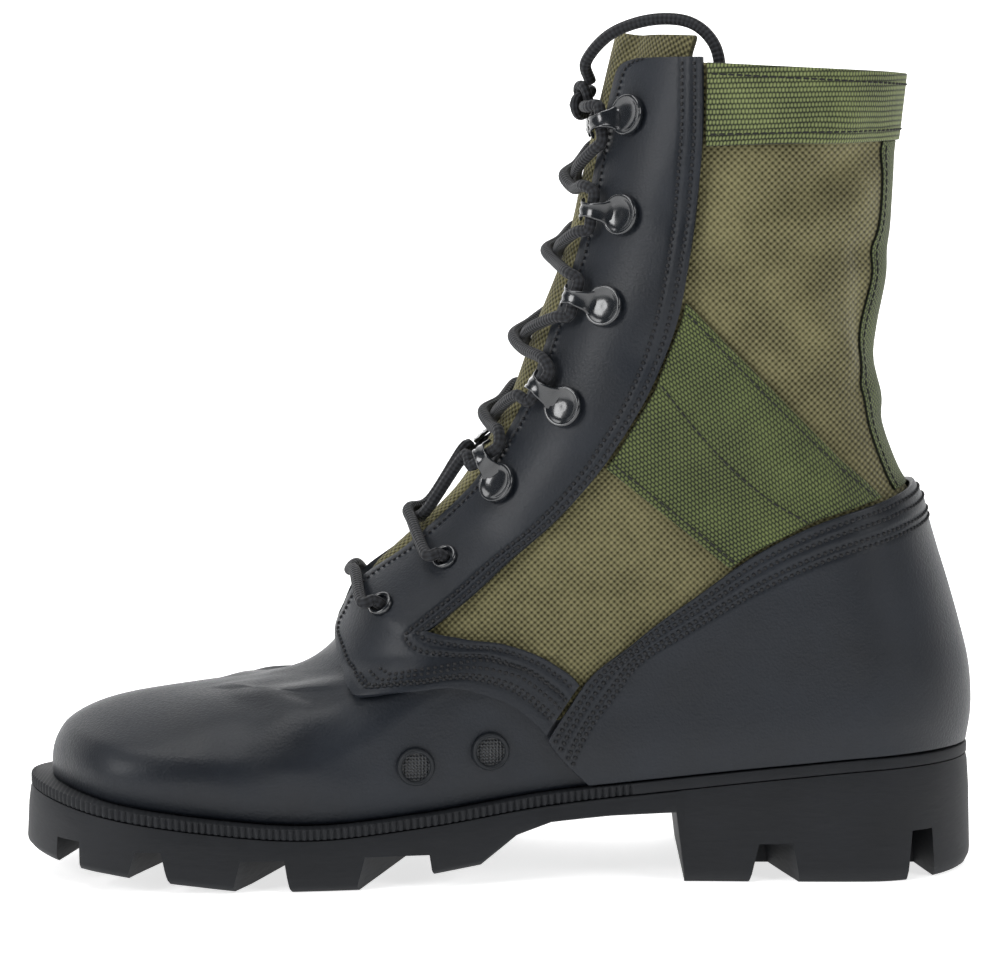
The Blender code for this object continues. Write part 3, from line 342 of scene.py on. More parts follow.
COUNTER = [
    Edge(0.451, 0.375, 0.408),
    Edge(0.415, 0.512, 0.382),
    Edge(0.377, 0.600, 0.349),
    Edge(0.314, 0.721, 0.297),
    Edge(0.242, 0.851, 0.231),
    Edge(0.169, 0.943, 0.160),
    Edge(0.102, 0.990, 0.094),
    Edge(0.078, 1.006, 0.040),
]
BRACE_AT_EYESTAY = (1.450, 1.076)
BRACE_AT_COUNTER = (0.106, 0.262)
BRACE_CLEARANCE = 0.0014
print("edge points: eyestay", len(EYESTAY), "counter", len(COUNTER))


# %% lacing hardware
# Lacing hardware on each side: place as x and up, and the way the hook points, in degrees
# above the forward direction.
Fastener = namedtuple("Fastener", "x up turn")
HOOKS = [
    Fastener(0.4938, 1.023, 52),
    Fastener(0.4269, 1.207, 34),
    Fastener(0.3856, 1.434, 15),
    Fastener(0.3669, 1.640, 8),
    Fastener(0.3584, 1.860, -5),
]
EYELETS = [Fastener(0.6187, 0.7066, 0), Fastener(0.5525, 0.8303, 0)]
CROSSINGS = [9.45, 10.85, 11.8, 12.9, 13.8]
CROSSING_SLOPE = 0.12
CROSSING_REACH = 0.6
BAR_REACH = 0.8
VENTS = [Fastener(0.5875, 0.316, 0), Fastener(0.5102, 0.349, 0)]
# The lace's way under a hook in the hook's own axes: ahead, across and out of the leather.
POCKET = [
    (HOOK_REACH + 0.0010, -0.0074, 0.0014),
    (HOOK_REACH - 0.0043, -0.0058, 0.0021),
    (HOOK_REACH - 0.0043, 0.0000, 0.0021),
    (HOOK_REACH - 0.0043, 0.0058, 0.0021),
    (HOOK_REACH + 0.0010, 0.0074, 0.0014),
]
# The lace's end from the knot over the tongue and into the collar: x, y and z.
LOOP = [
    (0.0275, -0.0070, 0.2600),
    (0.0350, -0.0135, 0.2685),
    (0.0470, -0.0190, 0.2728),
    (0.0590, -0.0240, 0.2722),
    (0.0665, -0.0280, 0.2660),
    (0.0690, -0.0300, 0.2560),
    (0.0695, -0.0305, 0.2380),
]
print("on each side:", len(HOOKS), "hooks and", len(EYELETS), "eyelets")


# %% [markdown]
# ## The upper as a function
# A point on the upper has a level, from 0 at the sole to 15 at the collar, and an angle round it.
# The side view gives its x and z, and the plan, rounded at both ends, gives its y. The leather
# and webbing pieces are the same function with a lift along its normal.


# %% smooth curves through the tables
def forward(share):
    """World x of a place along the sole, from 0 at the back of the heel to 1 at the toe."""
    return SOLE_LENGTH * (0.5 - np.asarray(share, float))


def height(up):
    """World z of a section height: 0 floor, HEEL_UP top of the sole's heel, 1 ankle and
    2 collar, with straight runs between them."""
    up = np.asarray(up, float)
    sole = HEEL_HEIGHT * up / HEEL_UP
    foot = HEEL_HEIGHT + (ANKLE_HEIGHT - HEEL_HEIGHT) * (up - HEEL_UP) / (1 - HEEL_UP)
    shaft = ANKLE_HEIGHT + (COLLAR_HEIGHT - ANKLE_HEIGHT) * (up - 1)
    return np.where(up < HEEL_UP, sole, np.where(up < 1, foot, shaft))


def smooth(places, values, at):
    """Cubic curve through the values, with each slope taken from its neighbours."""
    places = np.asarray(places, float)
    values = np.asarray(values, float)
    at = np.clip(np.asarray(at, float), places[0], places[-1])
    slopes = np.gradient(values, places)
    k = np.clip(np.searchsorted(places, at, side="right") - 1, 0, len(places) - 2)
    span = places[k + 1] - places[k]
    s = (at - places[k]) / span
    rise = values[k] * (1 + 2 * s) * (1 - s) ** 2 + values[k + 1] * s * s * (3 - 2 * s)
    return rise + span * (slopes[k] * s * (1 - s) ** 2 - slopes[k + 1] * s * s * (1 - s))


def spline(points, at):
    """A smooth curve through points, at these places counted in points."""
    return np.stack([smooth(range(len(points)), column, at) for column in np.transpose(points)], -1)


def of_section(column, level):
    """A column of the section table at a level, which is a row number or lies between."""
    values = [getattr(row, column) for row in SECTIONS]
    return smooth(range(len(SECTIONS)), values, level)


def of_station(column, x):
    """A column of the station table at a world x."""
    along = 0.5 - np.asarray(x, float) / SOLE_LENGTH
    return smooth([row.along for row in STATIONS], [getattr(row, column) for row in STATIONS], along)


def seat(x):
    """Height of the sole's upper face, where the upper's feather edge lies."""
    return HEEL_HEIGHT * of_station("seat", x)


print("sole's upper face at the ball:", round(float(seat(forward(0.7))) / MM, 1), "mm up")


# %% side view and width of a section
def side_view(level, t):
    """x and z of the point a share t of the way from back to front of a section."""
    back_x = forward(of_section("back_x", level))
    front_x = forward(of_section("front_x", level))
    x = back_x + t * (front_x - back_x)
    straight = height(of_section("back_up", level)) * (1 - t)
    straight = straight + height(of_section("front_up", level)) * t
    chord = seat(back_x) * (1 - t) + seat(front_x) * t
    return x, straight + of_section("sag", level) * (seat(x) - chord)


PROFILE_LEVELS = np.linspace(0, TONGUE_TOP_LEVEL, 241)


def profile_distance(x, z, front):
    """Distance from side-view points to the front or the back outline of the boot."""
    outline_x, outline_z = side_view(PROFILE_LEVELS, 1.0 if front else 0.0)
    points = np.stack([x, z], -1)[..., None, :]
    start = np.stack([outline_x[:-1], outline_z[:-1]], -1)
    step = np.stack([np.diff(outline_x), np.diff(outline_z)], -1)
    s = ((points - start) * step).sum(-1) / (step * step).sum(-1)
    nearest = start + np.clip(s, 0, 1)[..., None] * step
    return np.sqrt(((points - nearest) ** 2).sum(-1)).min(-1)


def rounded(distance, radius):
    """Share of the full width near an outline: a quarter circle of the radius, then 1."""
    q = np.clip(distance / radius, 0, 1)
    return np.sqrt(q * (2 - q))


def half_width(level, t, outer):
    """Width of the upper from its centre line, on the outer or the inner side."""
    x, z = side_view(level, t)
    foot = BALL_WIDTH * np.where(outer, of_station("outer", x), of_station("inner", x))
    shaft = SHAFT_WIDTH / 2 * of_section("shaft_width", level)
    share = of_section("shaft", level)
    width = (foot * (1 - share) + shaft * share) * of_section("full", level)
    back = rounded(profile_distance(x, z, False), BALL_WIDTH * of_section("back_round", level))
    front = rounded(profile_distance(x, z, True), BALL_WIDTH * of_section("front_round", level))
    ends = np.clip(t * (1 - t) * 1e5, 0, 1)
    return width * back * front * ends


print("half width at the collar:", round(float(half_width(COLLAR_LEVEL, 0.5, True)) / MM, 1), "mm")


# %% the outer face and its normal
def skin(level, phi):
    """Point on the upper's outer face. phi is 0 at the back, pi at the front, and runs
    round by the outer side."""
    level, phi = np.broadcast_arrays(np.asarray(level, float), np.asarray(phi, float))
    t = (1 - np.cos(phi)) / 2
    outer = np.sin(phi) >= 0
    x, z = side_view(level, t)
    centre = BALL_WIDTH * of_station("centre", x) * (1 - of_section("shaft", level))
    y = centre + np.where(outer, 1, -1) * half_width(level, t, outer)
    return np.stack([x, y, z], -1)


def skin_normal(level, phi):
    """Outward direction at that point."""
    step = 0.02
    level, phi = np.broadcast_arrays(np.asarray(level, float), np.asarray(phi, float))
    around = skin(level, phi + step) - skin(level, phi - step)
    low, high = np.maximum(level - 5 * step, 0), np.minimum(level + 5 * step, TONGUE_TOP_LEVEL)
    along = skin(high, phi) - skin(low, phi)
    normal = np.cross(around, along)
    return normal / np.linalg.norm(normal, axis=-1, keepdims=True)


def lifted(level, phi, distance):
    """Point a distance outside the upper's outer face."""
    return skin(level, phi) + skin_normal(level, phi) * distance


print("middle of the outer side, mm:", np.round(skin(8.0, math.pi / 2) / MM, 1))


# %% places on the side of the boot
def locate(x, z):
    """Level and share t of the side-view point x, z, by halving the range of levels."""
    x, z = np.asarray(x, float), np.asarray(z, float)
    low, high = np.zeros_like(x), np.full_like(x, TONGUE_TOP_LEVEL)
    for _ in range(40):
        middle = (low + high) / 2
        back_x = forward(of_section("back_x", middle))
        front_x = forward(of_section("front_x", middle))
        t = np.clip((x - back_x) / (front_x - back_x), 0, 1)
        above = side_view(middle, t)[1] > z
        low, high = np.where(above, low, middle), np.where(above, middle, high)
    return middle, t


def side_phi(x_share, up):
    """Level and phi on the outer side of a place given as x share and up."""
    level, t = locate(forward(x_share), height(up))
    return level, np.arccos(1 - 2 * t)


def phi_at_width(level, width, front):
    """phi on the outer side at which the section is this wide from its centre line,
    counted from the front or from the back."""
    level = np.atleast_1d(np.asarray(level, float))
    phis = np.linspace(0, math.pi, 400)[None, :]
    widths = half_width(level[:, None] + 0 * phis, (1 - np.cos(phis)) / 2 + 0 * level[:, None], True)
    order = slice(None, 150, -1) if front else slice(None, 250)
    found = [np.interp(width_k, row[order], phis[0][order])
             for width_k, row in zip(np.broadcast_to(width, level.shape), widths)]
    return np.array(found)


def throat_phi(level, corner=CORNER_RADIUS):
    """phi of the throat's edge, where the eyestay and the opening begin. Its top corner is
    rounded over the last CORNER_LEVELS of the sections."""
    level = np.atleast_1d(np.asarray(level, float))
    rise = np.clip((level - COLLAR_LEVEL + CORNER_LEVELS) / CORNER_LEVELS, 0, 1)
    width = BALL_WIDTH * of_section("throat", level) + corner * (1 - np.sqrt(1 - rise**2))
    return phi_at_width(level, width, True)


print("throat's edge at its foot:", round(math.degrees(throat_phi(THROAT_LEVEL)[0]), 1), "degrees round")


# %% the sole's outline
def outline(phi, offset):
    """Plan outline of the sole: the feather edge moved outwards, as x and y."""
    step = 0.01
    ahead, behind = skin(0.0, phi + step), skin(0.0, phi - step)
    along = (ahead - behind)[..., :2]
    out = np.stack([along[..., 1], -along[..., 0]], -1)
    out = out / np.linalg.norm(out, axis=-1, keepdims=True)
    return skin(0.0, phi)[..., :2] + out * np.asarray(offset)[..., None]


def rim_width(phi):
    """How far the sole stands out from the upper: least at the heel, most at the toe."""
    t = (1 - np.cos(phi)) / 2
    return RIM_AT_HEEL + (RIM_AT_TOE - RIM_AT_HEEL) * t**1.5


def sole_phi(share):
    """Angle at which the feather edge lies a share of the way along the sole."""
    back, front = SECTIONS[0].back_x, SECTIONS[0].front_x
    return math.acos(1 - 2 * (share - back) / (front - back))


def on_side(line, outer):
    """An edge line for the outer side, or mirrored to the inner side."""
    line = np.array(line, float)
    return line if outer else line * (1, -1)


print("rim at the toe:", round(float(rim_width(math.pi)) / MM, 1), "mm")


# %% [markdown]
# ## Folds
# Leather and cloth that are walked in and stored show soft hollows. Each fold is a line in the
# side view, in the boot's own shares, with a depth and a half width in millimetres. The fold
# moves the surface along its normal by depth * exp(-(distance / half width) squared), and the
# leather laid over it moves with it.


# %% folds
Fold = namedtuple("Fold", "x1 up1 x2 up2 depth half_width")
FOLDS = [
    # the shaft: slanting folds under the collar band, and the slack over the heel
    Fold(0.235, 1.640, 0.115, 1.790, -2.4, 5.5),
    Fold(0.265, 1.560, 0.110, 1.560, -1.7, 5.5),
    Fold(0.250, 1.730, 0.150, 1.860, 1.6, 6.0),
    Fold(0.240, 1.600, 0.130, 1.670, 1.5, 5.0),
    Fold(0.122, 1.560, 0.122, 1.260, -1.9, 4.0),
    Fold(0.180, 1.440, 0.100, 1.220, 2.0, 5.0),
    Fold(0.235, 1.300, 0.150, 1.090, -1.5, 7.0),
    Fold(0.345, 1.320, 0.235, 1.590, -1.3, 7.0),
    Fold(0.310, 1.640, 0.280, 1.780, -1.0, 6.0),
    Fold(0.300, 1.060, 0.200, 1.000, -1.2, 7.0),
    # the instep and quarter under the eyestay
    Fold(0.430, 0.800, 0.340, 0.760, -1.7, 5.5),
    Fold(0.460, 0.680, 0.395, 0.650, 1.3, 5.0),
    # the leather over the ball and the toe
    Fold(0.700, 0.470, 0.660, 0.330, -1.0, 8.0),
    Fold(0.750, 0.470, 0.715, 0.300, 0.8, 8.0),
    Fold(0.790, 0.440, 0.770, 0.300, -0.7, 7.0),
    Fold(0.480, 0.330, 0.420, 0.260, -0.6, 8.0),
]


def fold_lift(level, phi):
    """Height of the folds at a place: the sum over folds of
    depth * exp(-(d / half width)**2), where d is the side view's distance to the fold's line.
    It fades out at the sole, the collar and the vamp's ridge."""
    level, phi = np.broadcast_arrays(np.asarray(level, float), np.asarray(phi, float))
    x, z = side_view(level, (1 - np.cos(phi)) / 2)
    total = np.zeros_like(x)
    for fold in FOLDS:
        ax, az = float(forward(fold.x1)), float(height(fold.up1))
        bx, bz = float(forward(fold.x2)), float(height(fold.up2))
        dx, dz = bx - ax, bz - az
        s = np.clip(((x - ax) * dx + (z - az) * dz) / (dx * dx + dz * dz), 0, 1)
        away = np.hypot(x - ax - s * dx, z - az - s * dz) / (fold.half_width * MM)
        total = total + fold.depth * MM * np.exp(-away**2)
    settled = np.clip(level / 1.5, 0, 1) * np.clip((COLLAR_LEVEL - level) / 0.6, 0, 1)
    off_ridge = np.clip((math.pi - np.abs(phi)) / 0.7, 0, 1) ** 2
    return total * settled * np.maximum(off_ridge, np.clip(level - 5.0, 0, 1))


def laid(level, phi, distance):
    """A point that far outside the folded upper."""
    level, phi = np.broadcast_arrays(np.asarray(level, float), np.asarray(phi, float))
    lift = np.asarray(distance) + fold_lift(level, phi)
    return skin(level, phi) + skin_normal(level, phi) * lift[..., None]


print("folds:", len(FOLDS))


# %% [markdown]
# ## Grids and shader maths
# Most pieces are a grid of points with a UV map in metres, so that cloth and stitches keep their
# real size. Materials are written as ordinary expressions through a small wrapper.


# %% a mesh from a grid of points
# points nearer than this become one, and what stays thinner than a sliver goes
WELD = 2e-6
SLIVER = 1e-7
EDGE_ANGLE = math.radians(50)


def run_along(points, axis=0):
    """Length up to each point of a line, or of a grid along one of its ways."""
    steps = np.linalg.norm(np.diff(points, axis=axis), axis=-1)
    start = np.zeros_like(np.take(steps, [0], axis))
    return np.concatenate([start, np.cumsum(steps, axis=axis)], axis=axis)


def at_runs(line, run, at):
    """Points of a line at these lengths along it."""
    return np.stack([np.interp(at, run, column) for column in line.T], -1)


def runs(points):
    """UV in metres: the length along the rows from their middle, and up the columns."""
    u = run_along(points, 1)
    return np.stack([u - u[:, u.shape[1] // 2][:, None], run_along(points, 0)], -1)


def grid_quads(rows, columns, first=0):
    """Corners of a grid's cells, as an array over its rows and columns."""
    index = np.arange(rows * columns).reshape(rows, columns) + first
    return np.stack([index[:-1, :-1], index[:-1, 1:], index[1:, 1:], index[1:, :-1]], -1)


def face_outwards(mesh):
    """Turns the faces of closed shells outwards."""
    bm = bmesh.new()
    bm.from_mesh(mesh)
    bmesh.ops.recalc_face_normals(bm, faces=bm.faces)
    bm.to_mesh(mesh)
    bm.free()


def sheet_piece(name, points, materials, uv=None, wall=0.0, outwards=True, keep=None,
                face_material=None, attributes=None, round_edge=0.0, weld=0.0, even=True):
    """A piece from a grid of points, given a wall by Solidify and a rounded edge by Bevel.
    keep and face_material are arrays over the grid's cells, attributes over its points. even is
    for a wall of even thickness at sharp bends, which narrow cells can't take."""
    quads = grid_quads(*points.shape[:2])
    chosen = np.ones(quads.shape[:2], bool) if keep is None else keep
    faces = quads[chosen]
    mesh = bpy.data.meshes.new(name)
    mesh.from_pydata(points.reshape(-1, 3).tolist(), [], faces.tolist())
    uv = runs(points) if uv is None else uv
    layer = mesh.uv_layers.new(name="metres")
    corners = np.zeros(len(mesh.loops), dtype=np.int32)
    mesh.loops.foreach_get("vertex_index", corners)
    layer.data.foreach_set("uv", uv.reshape(-1, 2)[corners].astype(np.float32).ravel())
    for key, values in (attributes or {}).items():
        attribute = mesh.attributes.new(key, "FLOAT", "POINT")
        attribute.data.foreach_set("value", np.asarray(values, np.float32).ravel())
    for material in materials:
        mesh.materials.append(material)
    if face_material is not None:
        mesh.polygons.foreach_set("material_index", face_material[chosen].astype(np.int32))
    bm = bmesh.new()
    bm.from_mesh(mesh)
    bmesh.ops.delete(bm, geom=[v for v in bm.verts if not v.link_faces], context="VERTS")
    if weld:
        bmesh.ops.remove_doubles(bm, verts=bm.verts, dist=weld)
        bmesh.ops.dissolve_degenerate(bm, edges=bm.edges, dist=SLIVER)
    bm.to_mesh(mesh)
    bm.free()
    mesh.shade_smooth()
    obj = linked(name, mesh)
    if wall:
        solid = obj.modifiers.new("wall", "SOLIDIFY")
        solid.thickness = wall
        solid.offset = 1 if outwards else -1
        solid.use_even_offset = even
        solid.use_quality_normals = True
        solid.material_offset = len(materials) - 1 if len(materials) > 1 else 0
        solid.material_offset_rim = solid.material_offset
    if round_edge:
        bevel = obj.modifiers.new("edge", "BEVEL")
        bevel.width = round_edge
        bevel.segments = 3
        bevel.limit_method = "ANGLE"
        bevel.angle_limit = EDGE_ANGLE
        bevel.harden_normals = False
    return obj


# %% shader maths as expressions
class Net:
    """A material's node tree, with one method that adds any node."""

    def __init__(self, name):
        self.material = bpy.data.materials.new(name)
        self.material.use_nodes = True
        self.tree = self.material.node_tree
        self.surface = self.tree.nodes["Principled BSDF"]

    def feed(self, node, values):
        """Sets or links a node's sockets, named by their words or, as i0, by their number."""
        for key, value in values.items():
            socket = node.inputs[int(key[1:]) if key[1:].isdigit() else key.replace("_", " ")]
            if isinstance(value, Wire):
                self.tree.links.new(value.socket, socket)
            else:
                socket.default_value = value

    def node(self, kind, settings=None, output=0, **values):
        """Adds a node: its settings first, then the values or links of its sockets."""
        made = self.tree.nodes.new(kind)
        for key, value in (settings or {}).items():
            setattr(made, key, value)
        self.feed(made, values)
        return Wire(self, made.outputs[output])

    def set(self, **values):
        """Sets or links the shader's own sockets."""
        self.feed(self.surface, values)
        return self.material


class Wire:
    """A socket, so that Python's operators add Math nodes."""

    def __init__(self, net, socket):
        self.net = net
        self.socket = socket

    def maths(self, operation, *others):
        values = {f"i{k}": value for k, value in enumerate((self, *others))}
        return self.net.node("ShaderNodeMath", {"operation": operation}, **values)

    def __add__(self, other):
        return self.maths("ADD", other)

    def __sub__(self, other):
        return self.maths("SUBTRACT", other)

    def __mul__(self, other):
        return self.maths("MULTIPLY", other)

    def __truediv__(self, other):
        return self.maths("DIVIDE", other)

    def __radd__(self, other):
        return self.maths("ADD", other)

    def __rmul__(self, other):
        return self.maths("MULTIPLY", other)

    def __rsub__(self, other):
        return (self * -1) + other

    def sine(self):
        return self.maths("SINE")

    def absolute(self):
        return self.maths("ABSOLUTE")

    def power(self, other):
        return self.maths("POWER", other)

    def clipped(self):
        return self.maths("MAXIMUM", 0.0).maths("MINIMUM", 1.0)

    def bell(self, middle, width):
        """exp(-((value - middle) / width) squared)"""
        away = (self - middle) / width
        return (away * away * -1).maths("EXPONENT")


def object_place(net):
    """Object coordinates."""
    return net.node("ShaderNodeTexCoord", output=3)


def noise(net, scale, detail=3.0):
    """Noise of so many cells to the metre."""
    return net.node("ShaderNodeTexNoise", Vector=object_place(net), Scale=scale, Detail=detail)


def uv_parts(net):
    """The two parts of the piece's own UV map, in metres."""
    place = net.node("ShaderNodeUVMap", {"uv_map": "metres"})
    split = net.node("ShaderNodeSeparateXYZ", Vector=place)
    return split, Wire(net, split.socket.node.outputs[1])


def blended(net, factor, dark, light):
    """A colour between two, by a factor from 0 to 1."""
    return net.node("ShaderNodeMix", {"data_type": "RGBA"}, output=2, i0=factor,
                    i6=(*dark, 1.0), i7=(*light, 1.0))


def bumped(net, raised, depth, below=None):
    """The normal of a surface whose height is raised * depth."""
    values = {"Height": raised, "Distance": depth, "Strength": 1.0}
    if below:
        values["Normal"] = below
    return net.node("ShaderNodeBump", **values)


print("shader maths ready")


# %% [markdown]
# ## Leather
# The foot, eyestays and counter are black full-grain leather with a soft polish. Its grain is a
# field of small pebbles under a millimetre across, with a slower change of polish over the hide.
# Where rows of stitches pull the leather down there is a groove, at a distance from the edge
# that the piece carries as an attribute.


# %% leather
def leather_finish(name, grooves=()):
    """Black grained leather. grooves are (attribute, distance from the edge in metres)."""
    net = Net(name)
    patches = noise(net, 38.0, 3.0)
    grain = net.node("ShaderNodeTexVoronoi", {"feature": "SMOOTH_F1"}, Vector=object_place(net),
                     Scale=1150.0, Smoothness=0.6)
    pores = noise(net, 2600.0, 2.0)
    colour = blended(net, patches, (0.0030, 0.0042, 0.0065), (0.0130, 0.0170, 0.0245))
    normal = bumped(net, grain * 0.7 + pores * 0.5, 0.00011)
    for attribute, distance in grooves:
        edge = net.node("ShaderNodeAttribute", {"attribute_name": attribute}, output=2)
        normal = bumped(net, 1 - edge.bell(distance, 0.0011), 0.00045, normal)
    net.set(Base_Color=colour, Roughness=patches * 0.24 + grain * 0.10 + 0.30, Normal=normal)
    return net.set(**{"Specular IOR Level": 0.30, "Coat Weight": 0.08, "Coat Roughness": 0.26})


EYESTAY_FRONT_ROWS = [0.0045]
EYESTAY_REAR_ROWS = [0.0025, 0.0065]
COUNTER_ROWS = [0.0025, 0.0055, 0.0095, 0.0120]
leather = leather_finish("black leather")
eyestay_leather = leather_finish(
    "stitched eyestay leather",
    [("front_edge", d) for d in EYESTAY_FRONT_ROWS] + [("rear_edge", d) for d in EYESTAY_REAR_ROWS],
)
counter_leather = leather_finish("stitched counter leather", [("top_edge", d) for d in COUNTER_ROWS])
print("grooves along the counter's top edge:", len(COUNTER_ROWS))


# %% [markdown]
# ## Canvas and webbing
# The shaft is olive cotton duck, a plain weave of thick threads about 1 mm apart that is seen
# as small pillows. The webbing is nylon tape of a greener shade with a fine rib across it.


# %% canvas
def canvas_finish(name, dark, light, pitch):
    """Plain weave: pillows of (1 + sin(2 pi u / pitch) * sin(2 pi v / pitch)) / 2, with the
    threads' own waves of half that pitch."""
    net = Net(name)
    u, v = uv_parts(net)
    turn = TWO_PI / pitch
    weave = (u * turn).sine() * (v * turn).sine() * 0.5 + 0.5
    threads = (u * (turn * 2)).sine() * 0.12 + (v * (turn * 2)).sine() * 0.12
    wear = noise(net, 60.0, 4.0)
    slub = noise(net, 1100.0, 2.0)
    # the colour darkens where the pillows are low: painted shade in the hollows of the weave, mixed with
    # random wear and slub tone
    wear_and_weave_shade = (wear * 0.7 + slub * 0.5 + weave - 0.60).clipped()
    normal = bumped(net, weave + threads + slub * 0.3, 0.00034)
    net.set(Base_Color=blended(net, wear_and_weave_shade, dark, light), Roughness=0.88, Normal=normal)
    return net.set(**{"Specular IOR Level": 0.25, "Sheen Weight": 0.12, "Sheen Roughness": 0.5})


# each cloth's dark colour is painted shade in the weave's hollows mixed with random wear; its light
# colour is the threads' tops
canvas = canvas_finish("olive canvas", (0.026, 0.023, 0.008), (0.232, 0.214, 0.106), 0.0021)
lining = canvas_finish("canvas lining", (0.035, 0.032, 0.016), (0.120, 0.112, 0.062), 0.0016)
print("cloth:", canvas.name, "and", lining.name)


# %% webbing
def webbing_finish(name, dark, light, pitch, row):
    """Tape woven in rows of upright floats: each float is a small pillow
    |sin(pi u / pitch)| * |sin(pi v / row)| to the power 0.6, in every other row set over by
    half a pitch."""
    net = Net(name)
    u, v = uv_parts(net)
    odd = (v * (math.pi / row)).sine().maths("SIGN") * 0.5
    floats = (u * (math.pi / pitch) + odd * (math.pi / 2)).sine().absolute()
    rows = (v * (math.pi / row)).sine().absolute()
    pillows = (floats * rows + 0.001).power(0.6)
    wear = noise(net, 70.0, 4.0)
    fibre = noise(net, 1500.0, 2.0)
    # the colour darkens where the floats are low: painted shade in the gaps between floats, mixed with
    # random wear and fibre tone
    wear_and_weave_shade = (pillows * 1.05 + wear * 0.5 + fibre * 0.4 - 0.62).clipped()
    net.set(Base_Color=blended(net, wear_and_weave_shade, dark, light), Roughness=0.8,
            Normal=bumped(net, pillows + fibre * 0.2, 0.00034))
    return net.set(**{"Specular IOR Level": 0.35, "Sheen Weight": 0.1, "Sheen Roughness": 0.5})


# each tape's near-black colour is painted shade in the gaps between floats mixed with random wear; its
# light colour is the floats' tops
band_webbing = webbing_finish(
    "collar webbing", (0.004, 0.007, 0.001), (0.235, 0.278, 0.108), 0.0011, 0.0016)
brace_webbing = webbing_finish(
    "brace webbing", (0.001, 0.003, 0.0005), (0.150, 0.186, 0.060), 0.0016, 0.0011)


# %% [markdown]
# ## Rubber, metal and cord
# The sole is a matte black moulded rubber with faint flow lines. The lacing hardware has a
# glossy black enamel, which a clear coat gives, and the lace is a braid whose strands cross.


# %% rubber, enamel, board and thread
def rubber_finish():
    """Matte rubber, a little streaked along the sole."""
    net = Net("black rubber")
    streaks = net.node("ShaderNodeTexNoise", Vector=net.node(
        "ShaderNodeMapping", i0=net.node("ShaderNodeTexCoord", output=3), i3=(0.25, 0.25, 1.0)),
        Scale=700.0, Detail=3.0)
    cloud = noise(net, 60.0, 3.0)
    net.set(Base_Color=blended(net, cloud, (0.004, 0.005, 0.0065), (0.011, 0.0125, 0.016)),
            Roughness=cloud * 0.14 + 0.56, Normal=bumped(net, streaks, 0.00014))
    return net.set(**{"Specular IOR Level": 0.32})


def enamel_finish(name, roughness, specular, coat):
    """Black enamel on metal under a clear coat, worn a little duller in places."""
    net = Net(name)
    net.set(Base_Color=(0.009, 0.011, 0.014, 1.0), Roughness=noise(net, 500.0, 2.0) * 0.14 + roughness)
    return net.set(**{"Specular IOR Level": specular, "Coat Weight": coat, "Coat Roughness": 0.08})


def screen_finish():
    """The vent's wire screen: crossing wires, with the holes between them painted near black as shade.
    """
    net = Net("vent screen")
    u, v = uv_parts(net)
    pitch = 0.0011
    wires = (u * (math.pi / pitch)).sine().absolute() * (v * (math.pi / pitch)).sine().absolute()
    # the holes' near-black colour is painted shade behind the screen, the wires a little lighter
    net.set(Base_Color=blended(net, wires, (0.022, 0.025, 0.030), (0.002, 0.002, 0.002)),
            Roughness=0.45, Normal=bumped(net, 1 - wires, 0.00045))
    return net.set(**{"Specular IOR Level": 0.6})


def braid_finish():
    """A braided cord: two sets of strands that wind opposite ways. u runs along the cord
    and v round it, both in metres."""
    net = Net("black braid")
    u, v = uv_parts(net)
    one = ((u + v) * (TWO_PI / 0.0030)).sine()
    other = ((u - v) * (TWO_PI / 0.0030)).sine()
    plait = (one * other) * 0.5 + 0.5
    # the colour follows the strands' height: painted shade in the gaps between the crossing strands
    net.set(Base_Color=blended(net, plait, (0.002, 0.002, 0.003), (0.022, 0.024, 0.029)),
            Roughness=0.72, Normal=bumped(net, plait, 0.00040))
    return net.set(**{"Specular IOR Level": 0.3, "Sheen Weight": 0.08, "Sheen Roughness": 0.5})


def plain_finish(name, dark, light, roughness, scale=300.0):
    """A plain mottled finish."""
    net = Net(name)
    mottle = noise(net, scale, 3.0)
    return net.set(Base_Color=blended(net, mottle, dark, light), Roughness=roughness,
                   Normal=bumped(net, mottle, 0.00008))


rubber, screen, braid = rubber_finish(), screen_finish(), braid_finish()
enamel = enamel_finish("black enamel", 0.16, 0.6, 0.6)
dull_enamel = enamel_finish("dull black enamel", 0.45, 0.3, 0.0)
thread = plain_finish("black thread", (0.002, 0.002, 0.003), (0.008, 0.009, 0.011), 0.7, 1500.0)
olive_thread = plain_finish("dark thread", (0.005, 0.006, 0.005), (0.018, 0.020, 0.015), 0.8, 1500.0)
board = plain_finish("insole board", (0.040, 0.038, 0.032), (0.085, 0.080, 0.066), 0.9)


def studio_finish(name, glow):
    """White paper that glows a little by itself."""
    net = Net(name)
    white = (0.86, 0.86, 0.86, 1.0)
    net.set(Base_Color=white, Roughness=0.9)
    return net.set(**{"Emission Color": (1.0, 1.0, 1.0, 1.0), "Emission Strength": glow})


floor.data.materials.append(studio_finish("studio floor", 0.72))
backdrop.data.materials.append(studio_finish("studio backdrop", 0.9))
print("finishes made:", len(bpy.data.materials))


# %% [markdown]
# ## The lace
# One black braided cord zigzags up the throat. It crosses over the foot of the throat between
# the two lowest eyelets, goes in through them and out of the next pair, and is then pulled under
# the hooks in turn up to a knot. Its end goes over the tongue and down inside the collar. A cord
# is a circle carried along a smooth path.


# %% a path and a tube along it
LACE_STEP = 0.0011
BRAID_ROUND = 0.012


def fastener_place(fastener, outer, lift):
    """Matrix of a fastener: local Z out of the leather, local X the way that it points."""
    level, phi = on_side([side_phi(fastener.x, fastener.up)], outer)[0]
    normal = Vector(skin_normal(level, phi))
    turn = math.radians(fastener.turn)
    ahead = Vector((-math.cos(turn), 0, math.sin(turn)))
    ahead = (ahead - normal * ahead.dot(normal)).normalized()
    across = normal.cross(ahead)
    place = Matrix((ahead, across, normal)).transposed().to_4x4()
    return Matrix.Translation(Vector(lifted(level, phi, lift))) @ place


